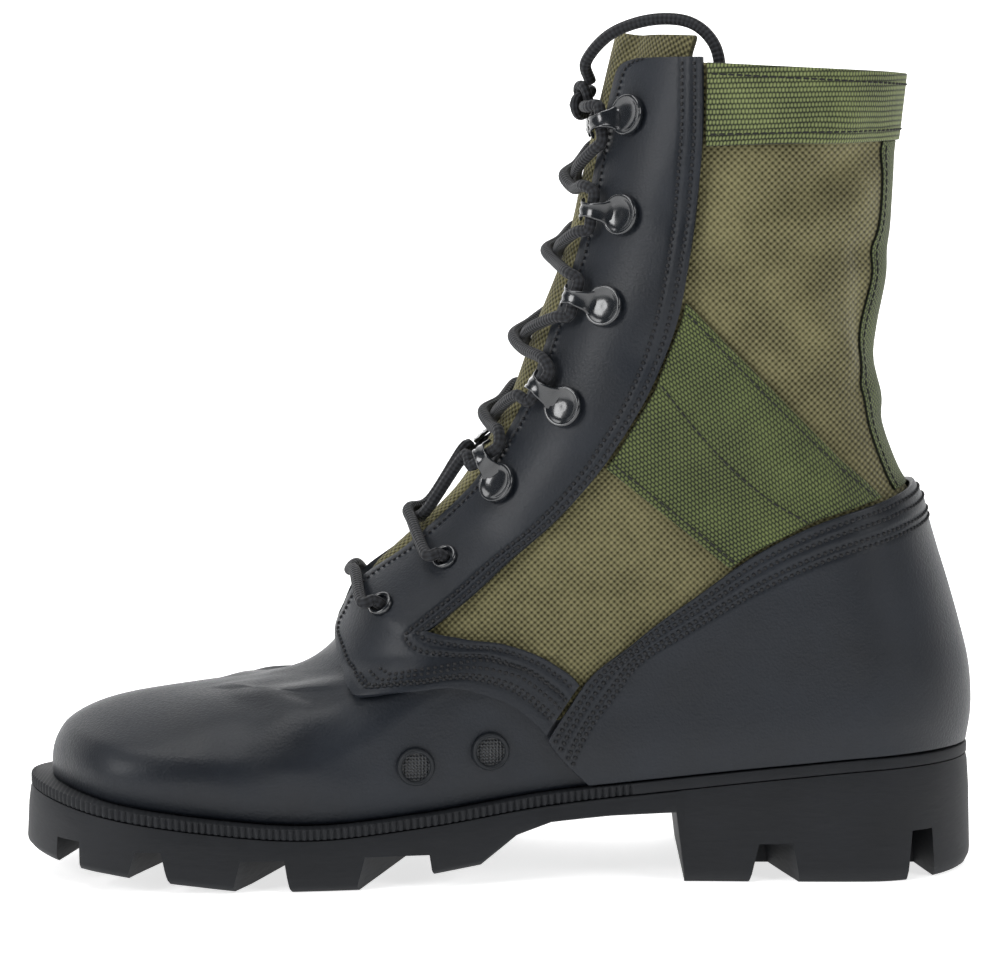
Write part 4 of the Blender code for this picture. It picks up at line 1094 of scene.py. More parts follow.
def route(points, spacing):
    """Evenly spaced points on a smooth curve through a cord's own points."""
    line = spline(np.array(points, float), np.linspace(0, len(points) - 1, 40 * len(points)))
    run = run_along(line)
    return at_runs(line, run, np.linspace(0, run[-1], max(3, int(run[-1] / spacing) + 1)))


def pocket(row, outer):
    """Points where the lace passes under a hook, from below its tip to above it."""
    place = fastener_place(row, outer, OVERLAY_GAP + OVERLAY_WALL + 2 * FIT_GAP)
    up = 1 if outer else -1
    return [np.array(place @ Vector((ahead, up * across, lift))) for ahead, across, lift in POCKET]


def knot_axes(turn):
    """The knot's centre, the way out of the tongue, and a direction along the tongue
    turned by so many degrees from the outer side towards the top."""
    centre = Vector(lifted(KNOT_LEVEL, math.pi, KNOT_LIFT))
    normal = Vector(skin_normal(KNOT_LEVEL, math.pi))
    across = Vector((0, 1, 0))
    up = across.cross(normal)
    along = across * math.cos(math.radians(turn)) + up * math.sin(math.radians(turn))
    return centre, normal, along.normalized()


def beside_knot(turn, radius, way):
    """Where a lace's end meets the side of the knot."""
    centre, _, along = knot_axes(turn)
    return np.array(centre + along * way * (radius + LACE_RADIUS + 2 * FIT_GAP))


def frames(path):
    """Directions across a path that turn as little as they can: each is the last one with its
    part along the new tangent taken away."""
    tangents = np.gradient(path, axis=0)
    tangents = tangents / np.linalg.norm(tangents, axis=1, keepdims=True)
    across = np.cross(tangents[0], (0.31, 0.47, 0.83))
    found = []
    for tangent in tangents:
        across = across - tangent * (across @ tangent)
        across = across / np.linalg.norm(across)
        found.append(across)
    found = np.array(found)
    return found, np.cross(tangents, found)


def tube_grid(path, radius, sides):
    """Rings of path + radius * (cos(a) * across + sin(a) * other), with closed ends."""
    radius = np.broadcast_to(radius, len(path)).copy()
    one, other = frames(path)
    path = np.concatenate([path[:1], path, path[-1:]])
    one, other = one[[0, *range(len(one)), -1]], other[[0, *range(len(other)), -1]]
    radius = np.concatenate([[1e-7], radius, [1e-7]])
    a = np.linspace(0, TWO_PI, sides + 1)
    ring = np.cos(a)[None, :, None] * one[:, None] + np.sin(a)[None, :, None] * other[:, None]
    points = path[:, None] + ring * radius[:, None, None]
    u, v = np.broadcast_arrays(run_along(path)[:, None], (a / TWO_PI * BRAID_ROUND)[None])
    return points, np.stack([u, v], -1)


def cord_piece(name, path, radius, material, sides=20):
    """A round cord as a piece."""
    points, uv = tube_grid(path, radius, sides)
    return sheet_piece(name, points, [material], uv=uv, weld=WELD)


# %% the lace's own points
EYELET_TOP = OVERLAY_GAP + OVERLAY_WALL + FIT_GAP
INSIDE = -UPPER_WALL - LACE_RADIUS - 0.0006
OVER = 0.0019


def front_place(level, outer, share, lift):
    """A point over the throat: share 0 is the middle of the front, 1 the throat's edge."""
    phi = math.pi - (math.pi - throat_phi(level)[0]) * share
    return lifted(level, phi if outer else -phi, lift)


def through_eyelet(row, outer):
    """Points from inside the upper out through an eyelet and over towards the front edge."""
    place = fastener_place(row, outer, EYELET_TOP)
    inside = INSIDE - EYELET_TOP
    spots = [(0.0, inside), (0.0, inside * 0.45), (0.0002, 0.0004),
             (0.0012, LACE_OUT_OF_EYELET), (0.0046, LACE_OUT_OF_EYELET + 0.0012)]
    return [np.array(place @ Vector((ahead, 0, out))) for ahead, out in spots]


def climb(outer_first):
    """From the second eyelet up to the knot, over and under the other strand in turn."""
    outer = outer_first
    points = through_eyelet(EYELETS[1], not outer)
    for count, (level, row) in enumerate(zip(CROSSINGS, HOOKS)):
        lift = LACE_LIFT + (OVER if (count % 2 == 0) == outer_first else -OVER)
        points.append(front_place(level - CROSSING_SLOPE, not outer, CROSSING_REACH, LACE_LIFT))
        points.append(front_place(level, outer, 0.0, lift))
        points.append(front_place(level + CROSSING_SLOPE, outer, CROSSING_REACH, LACE_LIFT))
        points.extend(pocket(row, outer))
        outer = not outer
    points.append(beside_knot(KNOT_TURN, KNOT_RADIUS, 1 if not outer else -1))
    return points


def bar():
    """Between the two lowest eyelets, over the foot of the throat."""
    near, far = through_eyelet(EYELETS[0], False), through_eyelet(EYELETS[0], True)
    sides = [front_place(BAR_LEVEL, outer, BAR_REACH, LACE_LIFT) for outer in (False, True)]
    middle = front_place(BAR_LEVEL, True, 0.0, LACE_LIFT)
    return [*near, sides[0], middle, sides[1], *far[::-1]]


lace_path = route([*climb(True)[::-1], *bar()[::-1], *climb(False)], LACE_STEP)
lace = cord_piece("lace_braided", lace_path, LACE_RADIUS, braid)
dress(lace, "lace_cord", "lace", "lace_bar")
print("laced run", round(float(run_along(lace_path)[-1]) / MM), "mm long")


# %% the knot and the lace's end
KNOT_OUT = 0.0010
KNOT_SIZE = (0.0017, 0.0017, 0.0022)
KNOT_CORD = 0.0016

# a trefoil knot, ((2 + cos 3t) cos 2t, (2 + cos 3t) sin 2t, sin 3t)
centre, knot_out, knot_along = knot_axes(KNOT_TURN)
knot_up = knot_out.cross(knot_along)
t = np.linspace(0, TWO_PI, 161)
trefoil = np.stack([
    (2 + np.cos(3 * t)) * np.cos(2 * t), (2 + np.cos(3 * t)) * np.sin(2 * t), np.sin(3 * t)], -1)
axes = np.array([knot_along, knot_up, knot_out])
knot_path = np.array(centre) + np.array(knot_out) * KNOT_OUT + trefoil * KNOT_SIZE @ axes
knot = cord_piece("lace_knot_tied", knot_path, KNOT_CORD, braid, 16)
dress(knot, "lace_cord", "lace_knot")

loop_path = route([beside_knot(LOOP_TURN, LOOP_RADIUS, 1), *LOOP], LACE_STEP)
loop = cord_piece("lace_end", loop_path, LACE_RADIUS, braid)
dress(loop, "lace_cord", "lace_loop")
loop_length = float(run_along(loop_path)[-1])
print("lace end", round(loop_length * 1000), "mm long")


# %% [markdown]
# ## The upper
# The foot is black leather and the shaft is olive canvas. They are one hollow wall here, as in
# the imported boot, and the seam between them lies under the eyestays' wings and the counter. The
# wall is made by Solidify, to the inside, with a cloth lining.


# %% grid of the upper
SIDE_COLUMNS = 92
VAMP_COLUMNS = 14
SEAM = [
    # x share and height of the line below which the wall is leather
    (0.000, 0.930), (0.078, 0.940), (0.102, 0.925), (0.169, 0.860), (0.242, 0.750), (0.314, 0.610),
    (0.377, 0.470), (0.418, 0.400), (0.440, 0.420), (0.470, 0.500), (0.510, 0.560), (0.555, 0.610),
    (0.590, 0.680), (0.650, 0.900), (1.000, 1.200),
]
FOOT_ROWS = 66
SHAFT_ROWS = 72
FOOT_RINGS = np.array([0, 0.5, 1.0, 1.6, 2.4, 3.4, 4.4, 5.3, 6.2, THROAT_LEVEL])


def round_boot(at_levels):
    """Levels and angles of the grid at these levels. Columns keep to the throat's edge."""
    edge = throat_phi(at_levels)[:, None]
    side = edge * np.linspace(0, 1, SIDE_COLUMNS + 1)[None]
    vamp = edge + (math.pi - edge) * np.linspace(0, 1, VAMP_COLUMNS + 1)[None, 1:]
    outer_half = np.concatenate([side, vamp], axis=1)
    phis = np.concatenate([-outer_half[:, :0:-1], outer_half], axis=1)
    return np.broadcast_to(at_levels[:, None], phis.shape), phis


def between_rings(places, values, at, rounds=16):
    """Rows straight from ring to ring, which can't cross over the toe, and then each row moved
    to a quarter of the row before, half of itself and a quarter of the next, so many times."""
    k = np.clip(np.searchsorted(places, at, side="right") - 1, 0, len(places) - 2)
    s = ((at - places[k]) / (places[k + 1] - places[k]))[:, None, None]
    rows = values[k] * (1 - s) + values[k + 1] * s
    for _ in range(rounds):
        rows[1:-1] = rows[:-2] * 0.25 + rows[1:-1] * 0.5 + rows[2:] * 0.25
    return rows


def unfolded(points, levels, phis, rounds=90):
    """The rows crowd together over the ridge of the vamp. There each point moves half of the
    way to the mean of its four neighbours, so many times, which spreads them evenly."""
    weight = np.clip((np.abs(phis) - 1.9) / 0.3, 0, 1) * np.clip((levels - 1.6) / 0.6, 0, 1)
    weight = (weight * np.clip((6.4 - levels) / 0.6, 0, 1))[1:-1, :-1, None] * 0.5
    ring = points[:, :-1].copy()
    for _ in range(rounds):
        middle = ring[1:-1]
        mean = (ring[:-2] + ring[2:] + np.roll(middle, 1, 1) + np.roll(middle, -1, 1)) / 4
        ring[1:-1] = middle + (mean - middle) * weight
    return np.concatenate([ring, ring[:, :1]], axis=1)


def grid_normals(points):
    """Outward directions of a grid whose columns run round by the outer side and rows go up."""
    normal = np.cross(np.gradient(points, axis=1), np.gradient(points, axis=0))
    return normal / np.maximum(np.linalg.norm(normal, axis=-1, keepdims=True), 1e-12)


all_levels = np.concatenate([np.linspace(0, THROAT_LEVEL, FOOT_ROWS),
                             np.linspace(THROAT_LEVEL, COLLAR_LEVEL, SHAFT_ROWS)[1:]])
levels, phis = round_boot(all_levels)
ring_levels, ring_phis_all = round_boot(FOOT_RINGS)

cells_up = (levels[:-1, :-1] + levels[1:, :-1]) / 2
column = np.arange(phis.shape[1] - 1)[None]
in_vamp = (column < VAMP_COLUMNS) | (column >= phis.shape[1] - 1 - VAMP_COLUMNS)
keep = ~((cells_up > THROAT_LEVEL) & in_vamp)

middle_phi = (phis[:-1, :-1] + phis[1:, 1:]) / 2
cell_x, cell_z = side_view(cells_up, (1 - np.cos(middle_phi)) / 2)
seam_x, seam_up = zip(*SEAM)
seam_z = np.interp(0.5 - cell_x / SOLE_LENGTH, seam_x, height(seam_up))
is_canvas = (cell_z > seam_z).astype(int)

foot_points = between_rings(FOOT_RINGS, skin(ring_levels, ring_phis_all), levels[:FOOT_ROWS, 0])
foot_points = unfolded(foot_points, levels[:FOOT_ROWS], phis[:FOOT_ROWS])
upper_points = np.concatenate([foot_points, skin(levels[FOOT_ROWS:], phis[FOOT_ROWS:])])
upper_points = upper_points + grid_normals(upper_points) * fold_lift(levels, phis)[..., None]
upper = sheet_piece("upper_wall", upper_points, [leather, canvas, lining],
                    uv=upper_points[..., [0, 2]].copy(), wall=UPPER_WALL, outwards=False,
                    keep=keep, face_material=is_canvas, weld=WELD / 2, even=False)
dress(upper, "canvas", "upper")
print("upper:", len(upper.data.polygons), "faces before its wall")


# %% [markdown]
# ## Pieces sewn over the upper
# Each leather or webbing piece lies between two edge lines of places on the upper. The lines are
# smooth curves through their table, set out again in even steps, and the surface between them
# keeps a small clearance from the wall below.


# %% a piece between two edge lines
def even_lines(first, last, step):
    """Both edge lines at even steps of their mean length over the boot."""
    count = len(first)
    fine = np.linspace(0, count - 1, (count - 1) * 30 + 1)
    edges = [spline(first, fine), spline(last, fine)]
    length = sum(run_along(skin(line[:, 0], line[:, 1])) for line in edges) / 2
    even = np.interp(np.linspace(0, length[-1], int(length[-1] / step) + 2), length, fine)
    return [at_runs(line, fine, even) for line in edges]


def wound_outwards(places, points):
    """Places and points of a grid, with its columns turned round if its cells face inwards."""
    r, c = points.shape[0] // 2 - 1, points.shape[1] // 2
    normal = np.cross(points[r, c + 1] - points[r, c], points[r + 1, c] - points[r, c])
    if normal @ skin_normal(places[r, c, 0], places[r, c, 1]) < 0:
        return places[:, ::-1], points[:, ::-1]
    return places, points


def patch(first, last, rows, gap, step=0.0013):
    """Places and points between two edge lines, wound to face outwards, and each point's
    distance from the first and from the last line."""
    a, b = even_lines(np.array(first, float), np.array(last, float), step)
    share = np.linspace(0, 1, rows)[:, None, None]
    places = a[None] * (1 - share) + b[None] * share
    places, points = wound_outwards(places, laid(places[..., 0], places[..., 1], gap))
    from_first = run_along(points, 0)
    return places, points, from_first, from_first[-1] - from_first


# %% rows of stitches
STITCH_RINGS = 5
STITCH_SIDES = 6


def stitch_mesh(line, normals, pitch, length, radius):
    """Stitches along a line: each is a short rounded bar, half sunk in the surface."""
    run = run_along(line)
    middles = np.arange(pitch, run[-1] - pitch / 2, pitch)
    centre, out = at_runs(line, run, middles), at_runs(normals, run, middles)
    ahead = at_runs(line, run, middles + length / 2) - at_runs(line, run, middles - length / 2)
    ahead = ahead / np.linalg.norm(ahead, axis=1, keepdims=True)
    across = np.cross(out, ahead)
    along = np.array([-0.5, -0.42, 0.0, 0.42, 0.5]) * length
    thick = np.array([0.25, 0.85, 1.0, 0.85, 0.25]) * radius
    rise = np.array([-0.6, 0.0, 0.35, 0.0, -0.6]) * radius
    angle = np.linspace(0, TWO_PI, STITCH_SIDES + 1)[:-1]
    ring = np.cos(angle)[:, None, None] * across + np.sin(angle)[:, None, None] * out
    points = (centre[None, None] + ahead[None, None] * along[:, None, None, None]
              + out[None, None] * rise[:, None, None, None]
              + ring[None] * thick[:, None, None, None])
    points = np.transpose(points, (2, 0, 1, 3))
    return points.reshape(-1, 3), len(middles)


def stitches(name, rows, material, pitch=0.0021, length=0.0012, radius=0.00050):
    """All of a piece's rows of stitches as one mesh. rows are (line, normals)."""
    points, total = [], 0
    for line, normals in rows:
        found, count = stitch_mesh(line, normals, pitch, length, radius)
        points.append(found)
        total += count
    points = np.concatenate(points)
    k = np.arange(STITCH_SIDES)
    ring = np.stack([k, np.roll(k, -1), np.roll(k, -1) + STITCH_SIDES, k + STITCH_SIDES], -1)
    rows_of_one = np.arange(STITCH_RINGS - 1)[:, None, None] * STITCH_SIDES
    starts = (np.arange(total) * STITCH_RINGS * STITCH_SIDES)[:, None, None]
    faces = (ring[None] + rows_of_one).reshape(-1, 4)[None] + starts
    ends = np.stack([k[::-1], k + STITCH_SIDES * (STITCH_RINGS - 1)])[None] + starts
    mesh = bpy.data.meshes.new(name)
    polygons = faces.reshape(-1, 4).tolist() + ends.reshape(-1, STITCH_SIDES).tolist()
    mesh.from_pydata(points.tolist(), [], polygons)
    mesh.materials.append(material)
    mesh.shade_smooth()
    face_outwards(mesh)
    dress(linked(name, mesh), "leather")
    print(name.replace("_", " ") + ":", total)


def row_at(places, distance, from_edge, gap, first=0, last=None):
    """A line at a distance from an edge of a piece, with its normals, on its outer face."""
    line = []
    for c in range(first, places.shape[1] if last is None else last):
        column = from_edge[:, c]
        order = np.argsort(column)
        if column.max() < distance:
            continue
        line.append([np.interp(distance, column[order], places[order, c, k]) for k in (0, 1)])
    line = np.array(line)
    return laid(line[:, 0], line[:, 1], gap), skin_normal(line[:, 0], line[:, 1])


# %% eyestays
def eyestay_lines(outer):
    """The eyestay's front edge along the throat and round the wing, and its rear edge."""
    front, rear = [], []
    for row in EYESTAY:
        rear.append(side_phi(row.rear_x, row.rear_up))
        if row.front_level is None:
            front.append(side_phi(row.front_x, row.front_up))
        else:
            front.append((row.front_level, throat_phi(row.front_level)[0]))
    return on_side(front, outer), on_side(rear, outer)


WING_ROWS = [0.0060, 0.0093, 0.0127]
WING_TOP = height(0.53)
eyestay_rows = []
for name, outer in (("eyestay_inner", False), ("eyestay_outer", True)):
    first, last = eyestay_lines(outer)
    places, points, from_front, from_rear = patch(first, last, 22, OVERLAY_GAP)
    piece = sheet_piece(name + "_leather", points, [eyestay_leather], wall=OVERLAY_WALL,
                        attributes={"front_edge": from_front, "rear_edge": from_rear},
                        round_edge=0.0005, even=False)
    dress(piece, "leather", name)
    top = OVERLAY_GAP + OVERLAY_WALL
    for distance in EYESTAY_FRONT_ROWS:
        eyestay_rows.append(row_at(places, distance, from_front, top))
    for distance in EYESTAY_REAR_ROWS:
        eyestay_rows.append(row_at(places, distance, from_rear, top))
    edge_z = side_view(places[0, :, 0], (1 - np.cos(places[0, :, 1])) / 2)[1]
    wing = np.nonzero(edge_z < WING_TOP)[0]
    for distance in WING_ROWS:
        eyestay_rows.append(row_at(places, distance, from_front, top, wing.min(), wing.max() + 1))
stitches("eyestay_stitches", eyestay_rows, thread)


# %% counter
COUNTER_STEP = 0.0018


def counter_top(outer):
    """The counter's upper edge line on one side, without its middle at the back."""
    line = [side_phi(row.top_x, row.top_up) for row in COUNTER]
    return on_side(line, outer)


def counter_back_level():
    """The level at which the counter's upper edge crosses the middle of the back."""
    line = counter_top(True)
    return line[-1][0] + COUNTER_PEAK


tops, feet = [], []
for outer in (False, True):
    tops.append(counter_top(outer))
    feet.append(on_side([(COUNTER_FOOT, sole_phi(row.bottom_x)) for row in COUNTER], outer))
tops = np.concatenate([tops[0], [(counter_back_level(), 0.0)], tops[1][::-1]])
feet = np.concatenate([feet[0], [(COUNTER_FOOT, 0.0)], feet[1][::-1]])
places, points, _, from_top = patch(feet, tops, 44, COUNTER_GAP, COUNTER_STEP)
counter = sheet_piece("counter_leather", points, [counter_leather], wall=OVERLAY_WALL,
                      attributes={"top_edge": from_top}, round_edge=0.0005)
dress(counter, "leather", "counter")
top = COUNTER_GAP + OVERLAY_WALL
stitches("counter_stitches", [row_at(places, d, from_top, top) for d in COUNTER_ROWS], thread)
print("counter:", len(counter.data.polygons), "faces before its wall")


# %% collar band and back stay
STAY_GAP = 0.0002
STAY_WALL = 0.0008
BAND_SEW_INSET = 0.0035
SEW_INSET = 0.0025

shaft_levels = np.linspace(COLLAR_LEVEL - 2.5, COLLAR_LEVEL, 60)
shaft_z = skin(shaft_levels, math.pi / 2)[:, 2]
band_level = float(np.interp(shaft_z[-1] - BAND_WIDTH, shaft_z, shaft_levels))
rear = [side_phi(row.rear_x, row.rear_up) for row in EYESTAY[4::-1]]
band_edges = []
for level in (band_level, COLLAR_LEVEL):
    end = float(np.interp(level, [place[0] for place in rear], [place[1] for place in rear]))
    turns = np.linspace(-1, 1, 13) * (end - 2 * EDGE_GAP / SHAFT_WIDTH)
    band_edges.append(np.column_stack([np.full(13, level), turns]))
places, points, from_low, from_top = patch(*band_edges, 16, WEBBING_GAP)
band = sheet_piece("collar_band_webbing", points, [band_webbing], wall=WEBBING_WALL,
                   round_edge=0.0004)
webbing_rows = [row_at(places, BAND_SEW_INSET, edge_run, WEBBING_GAP + WEBBING_WALL)
                for edge_run in (from_low, from_top)]

levels = np.linspace(counter_back_level() + BACK_STAY_GAP, band_level - BACK_STAY_GAP / 5, 7)
stay_edge = phi_at_width(levels, BACK_STAY_HALF, False)
stay_lines = np.column_stack([levels, -stay_edge]), np.column_stack([levels, stay_edge])
places, points, from_left, from_right = patch(*stay_lines, 14, STAY_GAP)
stay = sheet_piece("back_stay_webbing", points, [brace_webbing], wall=STAY_WALL, round_edge=0.0003)
webbing_rows += [row_at(places, SEW_INSET, edge_run, STAY_GAP + STAY_WALL)
                 for edge_run in (from_left, from_right)]
dress(band, "webbing", "collar_band")
dress(stay, "webbing", "back_stay")
print("collar band and back stay:", len(webbing_rows), "rows of stitches")


# %% ankle braces
BRACE_COLUMNS = 24
BRACE_ROWS = 70


def brace_places(outer):
    """Places of a brace: straight in the side view from the eyestay down to the counter."""
    rear = sorted((row.rear_up, row.rear_x) for row in EYESTAY[:11])
    ups = np.linspace(*BRACE_AT_EYESTAY, BRACE_COLUMNS)
    start_x = np.interp(ups, [up for up, _ in rear], [x for _, x in rear])
    start = np.stack([forward(start_x - BRACE_CLEARANCE / SOLE_LENGTH), height(ups)], -1)
    top = sorted((row.top_x, row.top_up) for row in COUNTER)
    end_x = np.linspace(*BRACE_AT_COUNTER, BRACE_COLUMNS)
    end_up = np.interp(end_x, [x for x, _ in top], [up for _, up in top])
    end = np.stack([forward(end_x), height(end_up + BRACE_CLEARANCE / ANKLE_HEIGHT)], -1)
    share = np.linspace(0, 1, BRACE_ROWS)[:, None, None]
    plan = start * (1 - share) + end * share
    level, t = locate(plan[..., 0], plan[..., 1])
    return np.stack([level, np.arccos(1 - 2 * t) * (1 if outer else -1)], -1)


for name, outer in (("ankle_brace_inner", False), ("ankle_brace_outer", True)):
    places = brace_places(outer)
    places, points = wound_outwards(places, laid(places[..., 0], places[..., 1], BRACE_GAP))
    from_one = run_along(points, 1)
    piece = sheet_piece(name + "_webbing", points, [brace_webbing], wall=WEBBING_WALL,
                        uv=runs(points)[..., ::-1], round_edge=0.0004)
    dress(piece, "webbing", name)
    turned_places = np.transpose(places, (1, 0, 2))
    face = BRACE_GAP + WEBBING_WALL
    for edge_run in (from_one, from_one[:, -1:] - from_one):
        webbing_rows.append(row_at(turned_places, SEW_INSET, edge_run.T, face))
    half = float(np.median(from_one[:, -1])) / 2
    webbing_rows.append(row_at(turned_places, half, from_one.T, face))
stitches("webbing_stitches", webbing_rows, olive_thread, 0.0026, 0.0021, 0.00034)


# %% tongue
def tongue_lift(level, phi):
    """How far the tongue's outer face lies from the upper's: under its wall at the sides, and
    bulging forwards between the eyestays by (1 - across squared) to the power 1.5."""
    levels = np.linspace(TONGUE_FOOT_LEVEL, TONGUE_TOP_LEVEL, 40)
    half = np.interp(level, levels, math.pi - throat_phi(levels, 0))
    across = (phi - math.pi) / half / 0.85
    rise = np.clip((level - THROAT_LEVEL - 0.2) / 1.5, 0, 1)
    return TONGUE_BULGE * rise * np.clip(1 - across**2, 0, 1) ** 1.5 - UPPER_WALL - TONGUE_GAP


levels = np.linspace(TONGUE_FOOT_LEVEL, TONGUE_TOP_LEVEL, 90)
overlap = TONGUE_OVERLAP + 0.9 * np.clip((levels - 12.5) / 2.5, 0, 1) ** 2
half = (math.pi - throat_phi(levels, 0)) * (1 + overlap)
share = np.linspace(1, -1, 41)[None]
phi_grid = math.pi + half[:, None] * share
level_grid = np.broadcast_to(levels[:, None], phi_grid.shape)
points = lifted(level_grid, phi_grid, tongue_lift(level_grid, phi_grid)[..., None])
_, points = wound_outwards(np.stack([level_grid, phi_grid], -1), points)
tongue = sheet_piece("tongue_cloth", points, [canvas, lining], wall=TONGUE_WALL, outwards=False,
                     face_material=np.zeros((89, 40), int), round_edge=0.0008)
dress(tongue, "canvas", "tongue")
print("tongue:", round(float(run_along(points[:, 20])[-1]) / MM), "mm long")


# %% [markdown]
# ## The sole
# The outsole is lofted through rings of the sole's outline, from the arched and sprung underside
# to the midsole, and its channels are cut between the lugs. The midsole's forefoot is moulded
# with upright ribs 2.2 mm apart, and it is plain round the heel.


# %% lofts
def ring_phis(count, extra=()):
    """Angles round the sole, equal on both sides, with extra ones where a step lies."""
    side = np.linspace(0, math.pi, count + 1)
    side = np.unique(np.concatenate([side, np.asarray(extra, float)]))
    return np.concatenate([side, TWO_PI - side[-2:0:-1]])


def loft_piece(name, rings, material):
    """A closed solid through rings from bottom to top. Its end faces are strips across, each
    from two points of one side to the two that lie opposite."""
    rows, count = len(rings), len(rings[0])
    c = np.arange(count)
    d = (c + 1) % count
    walls = [np.stack([r * count + c, r * count + d, (r + 1) * count + d, (r + 1) * count + c], -1)
             for r in range(rows - 1)]
    faces = np.concatenate(walls).tolist()
    last = (rows - 1) * count
    for k in range(count // 2):
        strip = [k, k + 1, (count - k - 1) % count, (count - k) % count]
        face = [v for i, v in enumerate(strip) if v not in strip[:i]]
        faces.append([last + v for v in face])
        faces.append(face[::-1])
    mesh = bpy.data.meshes.new(name)
    mesh.from_pydata(np.concatenate(rings).tolist(), [], faces)
    mesh.materials.append(material)
    mesh.shade_smooth()
    mesh.set_sharp_from_angle(angle=EDGE_ANGLE)
    return linked(name, mesh)


# %% outsole
# Rings from the underside up: how far each stands out past the rim, and its share of the height.
SOLE_RINGS = [
    (-0.0010, 0.0), (0.0000, 0.02), (0.0012, 0.09), (0.0014, 0.14),
    (0.0011, 0.40), (0.0008, 0.70), (0.0002, 0.94), (-0.0003, 1.0),
]
CHANNEL_BELOW = -0.004
NARROW_AT_SPINE = 0.85
WIDE_AT_EDGE = 1.15


def sole_underside(x_share):
    """Height of the underside along the sole."""
    lifts = np.interp(x_share, [row.along for row in TREADS], [row.lift for row in TREADS])
    return HEEL_HEIGHT * lifts


phis = ring_phis(150, [sole_phi(row.along) for row in TREADS[1:-1]])
rings = []
for offset, share in SOLE_RINGS:
    plan = outline(phis, rim_width(phis) + offset)
    top = seat(plan[:, 0]) - 2 * FIT_GAP - MIDSOLE_WALL
    bottom = sole_underside(0.5 - skin(0.0, phis)[:, 0] / SOLE_LENGTH)
    rings.append(np.column_stack([plan, bottom + (top - bottom) * share]))
outsole = loft_piece("outsole_rubber", rings, rubber)


def channel_bar(channel, side_sign):
    """A tapering bar between two lugs, wider at the floor."""
    x = float(forward(channel.along))
    roof = HEEL_HEIGHT * channel.roof
    half_roof = SOLE_LENGTH * channel.roof_width / 2
    flare = (roof - CHANNEL_BELOW) / roof
    half_floor = half_roof + (SOLE_LENGTH * channel.floor_width / 2 - half_roof) * flare
    section = [(-half_floor, CHANNEL_BELOW), (half_floor, CHANNEL_BELOW),
               (half_roof, roof), (-half_roof, roof)]
    corners = []
    for y, sweep, widening in ((SPINE_HALF, channel.sweep, NARROW_AT_SPINE),
                               (CHANNEL_REACH, -channel.sweep * 0.4, WIDE_AT_EDGE)):
        middle = x - SOLE_LENGTH * sweep
        corners.extend([(middle + along * widening, side_sign * y, z) for along, z in section])
    faces = [[k, (k + 1) % 4, 4 + (k + 1) % 4, 4 + k] for k in range(4)] + [[3, 2, 1, 0], [4, 5, 6, 7]]
    return corners, faces


bars, bar_faces = [], []
for channel in CHANNELS:
    for side_sign in (-1, 1):
        corners, faces = channel_bar(channel, side_sign)
        bar_faces.extend([[len(bars) + k for k in face] for face in faces])
        bars.extend(corners)
bar_mesh = bpy.data.meshes.new("channel_bars")
bar_mesh.from_pydata(bars, [], bar_faces)
face_outwards(bar_mesh)
bar_object = linked("channel_bars", bar_mesh)
channels_cut = outsole.modifiers.new("channels", "BOOLEAN")
channels_cut.operation = "DIFFERENCE"
channels_cut.object = bar_object
bpy.context.view_layer.update()
cut_outsole = outsole.evaluated_get(bpy.context.evaluated_depsgraph_get())
cut_mesh = bpy.data.meshes.new_from_object(cut_outsole)
outsole.modifiers.clear()
outsole.data = cut_mesh
bpy.data.objects.remove(bar_object)
cut_mesh.set_sharp_from_angle(angle=math.radians(40))
dress(outsole, "rubber", "outsole")
print("outsole:", len(cut_mesh.polygons), "faces")


# %% midsole
RIBS_FROM = 0.36
MIDSOLE_RINGS = [(0.0004, 0.0), (0.0, 0.08), (0.0, 0.82), (0.0002, 0.94), (0.0006, 1.0)]

fine = np.linspace(0, math.pi, 3000)
run = run_along(outline(fine, rim_width(fine)))
start = float(np.interp(sole_phi(RIBS_FROM), fine, run))
ribs = int((run[-1] - start) / RIB_PITCH)
spots = np.concatenate([np.linspace(0, start, 60, endpoint=False),
                        np.linspace(start, run[-1], 6 * ribs + 1)])
side_angle = np.interp(spots, run, fine)
rib_turn = np.clip(spots - start, 0, None) / (run[-1] - start) * ribs * TWO_PI
depth = RIB_DEPTH * (0.5 - 0.5 * np.cos(rib_turn)) ** 1.5
phis = np.concatenate([side_angle, TWO_PI - side_angle[-2:0:-1]])
depth = np.concatenate([depth, depth[-2:0:-1]])
rings = []
for inset, share in MIDSOLE_RINGS:
    plan = outline(phis, rim_width(phis) - depth * (1 if share < 0.9 else 0.5) - inset)
    rings.append(np.column_stack([plan, seat(plan[:, 0]) - FIT_GAP - MIDSOLE_WALL * (1 - share)]))
midsole = loft_piece("midsole_rubber", rings, rubber)
dress(midsole, "rubber", "midsole")
print("midsole:", 2 * ribs, "ribs")


# %% insole
phis = ring_phis(70)
plan = outline(phis, np.full(len(phis), -UPPER_WALL - 0.0018))
rings = [np.column_stack([plan, seat(plan[:, 0]) + lift]) for lift in (0.0, INSOLE_WALL)]
insole = loft_piece("insole_sheet", rings, board)
dress(insole, "insole_board", "insole")
print("insole:", round(float(np.ptp(plan[:, 0])) / MM), "mm long")


# %% [markdown]
# ## Hooks, eyelets and vents
# Each hook is pressed from sheet: a round dished base riveted to the leather, and a ribbed neck
# that rises, runs forward over the lace and flares at its tip. Turned shapes are a profile
# carried round an axis, and the neck is a rounded section carried along a bent line.


# %% turned and swept shapes
NECK_SIDES = 25
NECK_GROOVE = 0.0006
METAL_ANGLE = math.radians(60)


def turned_grid(profile, sides):
    """Points of a profile of radius and height carried round Z."""
    profile = np.array(profile, float)
    a = np.linspace(0, TWO_PI, sides + 1)
    x, y = profile[:, :1] * np.cos(a), profile[:, :1] * np.sin(a)
    return np.stack([x, y, np.broadcast_to(profile[:, 1:], x.shape)], -1)


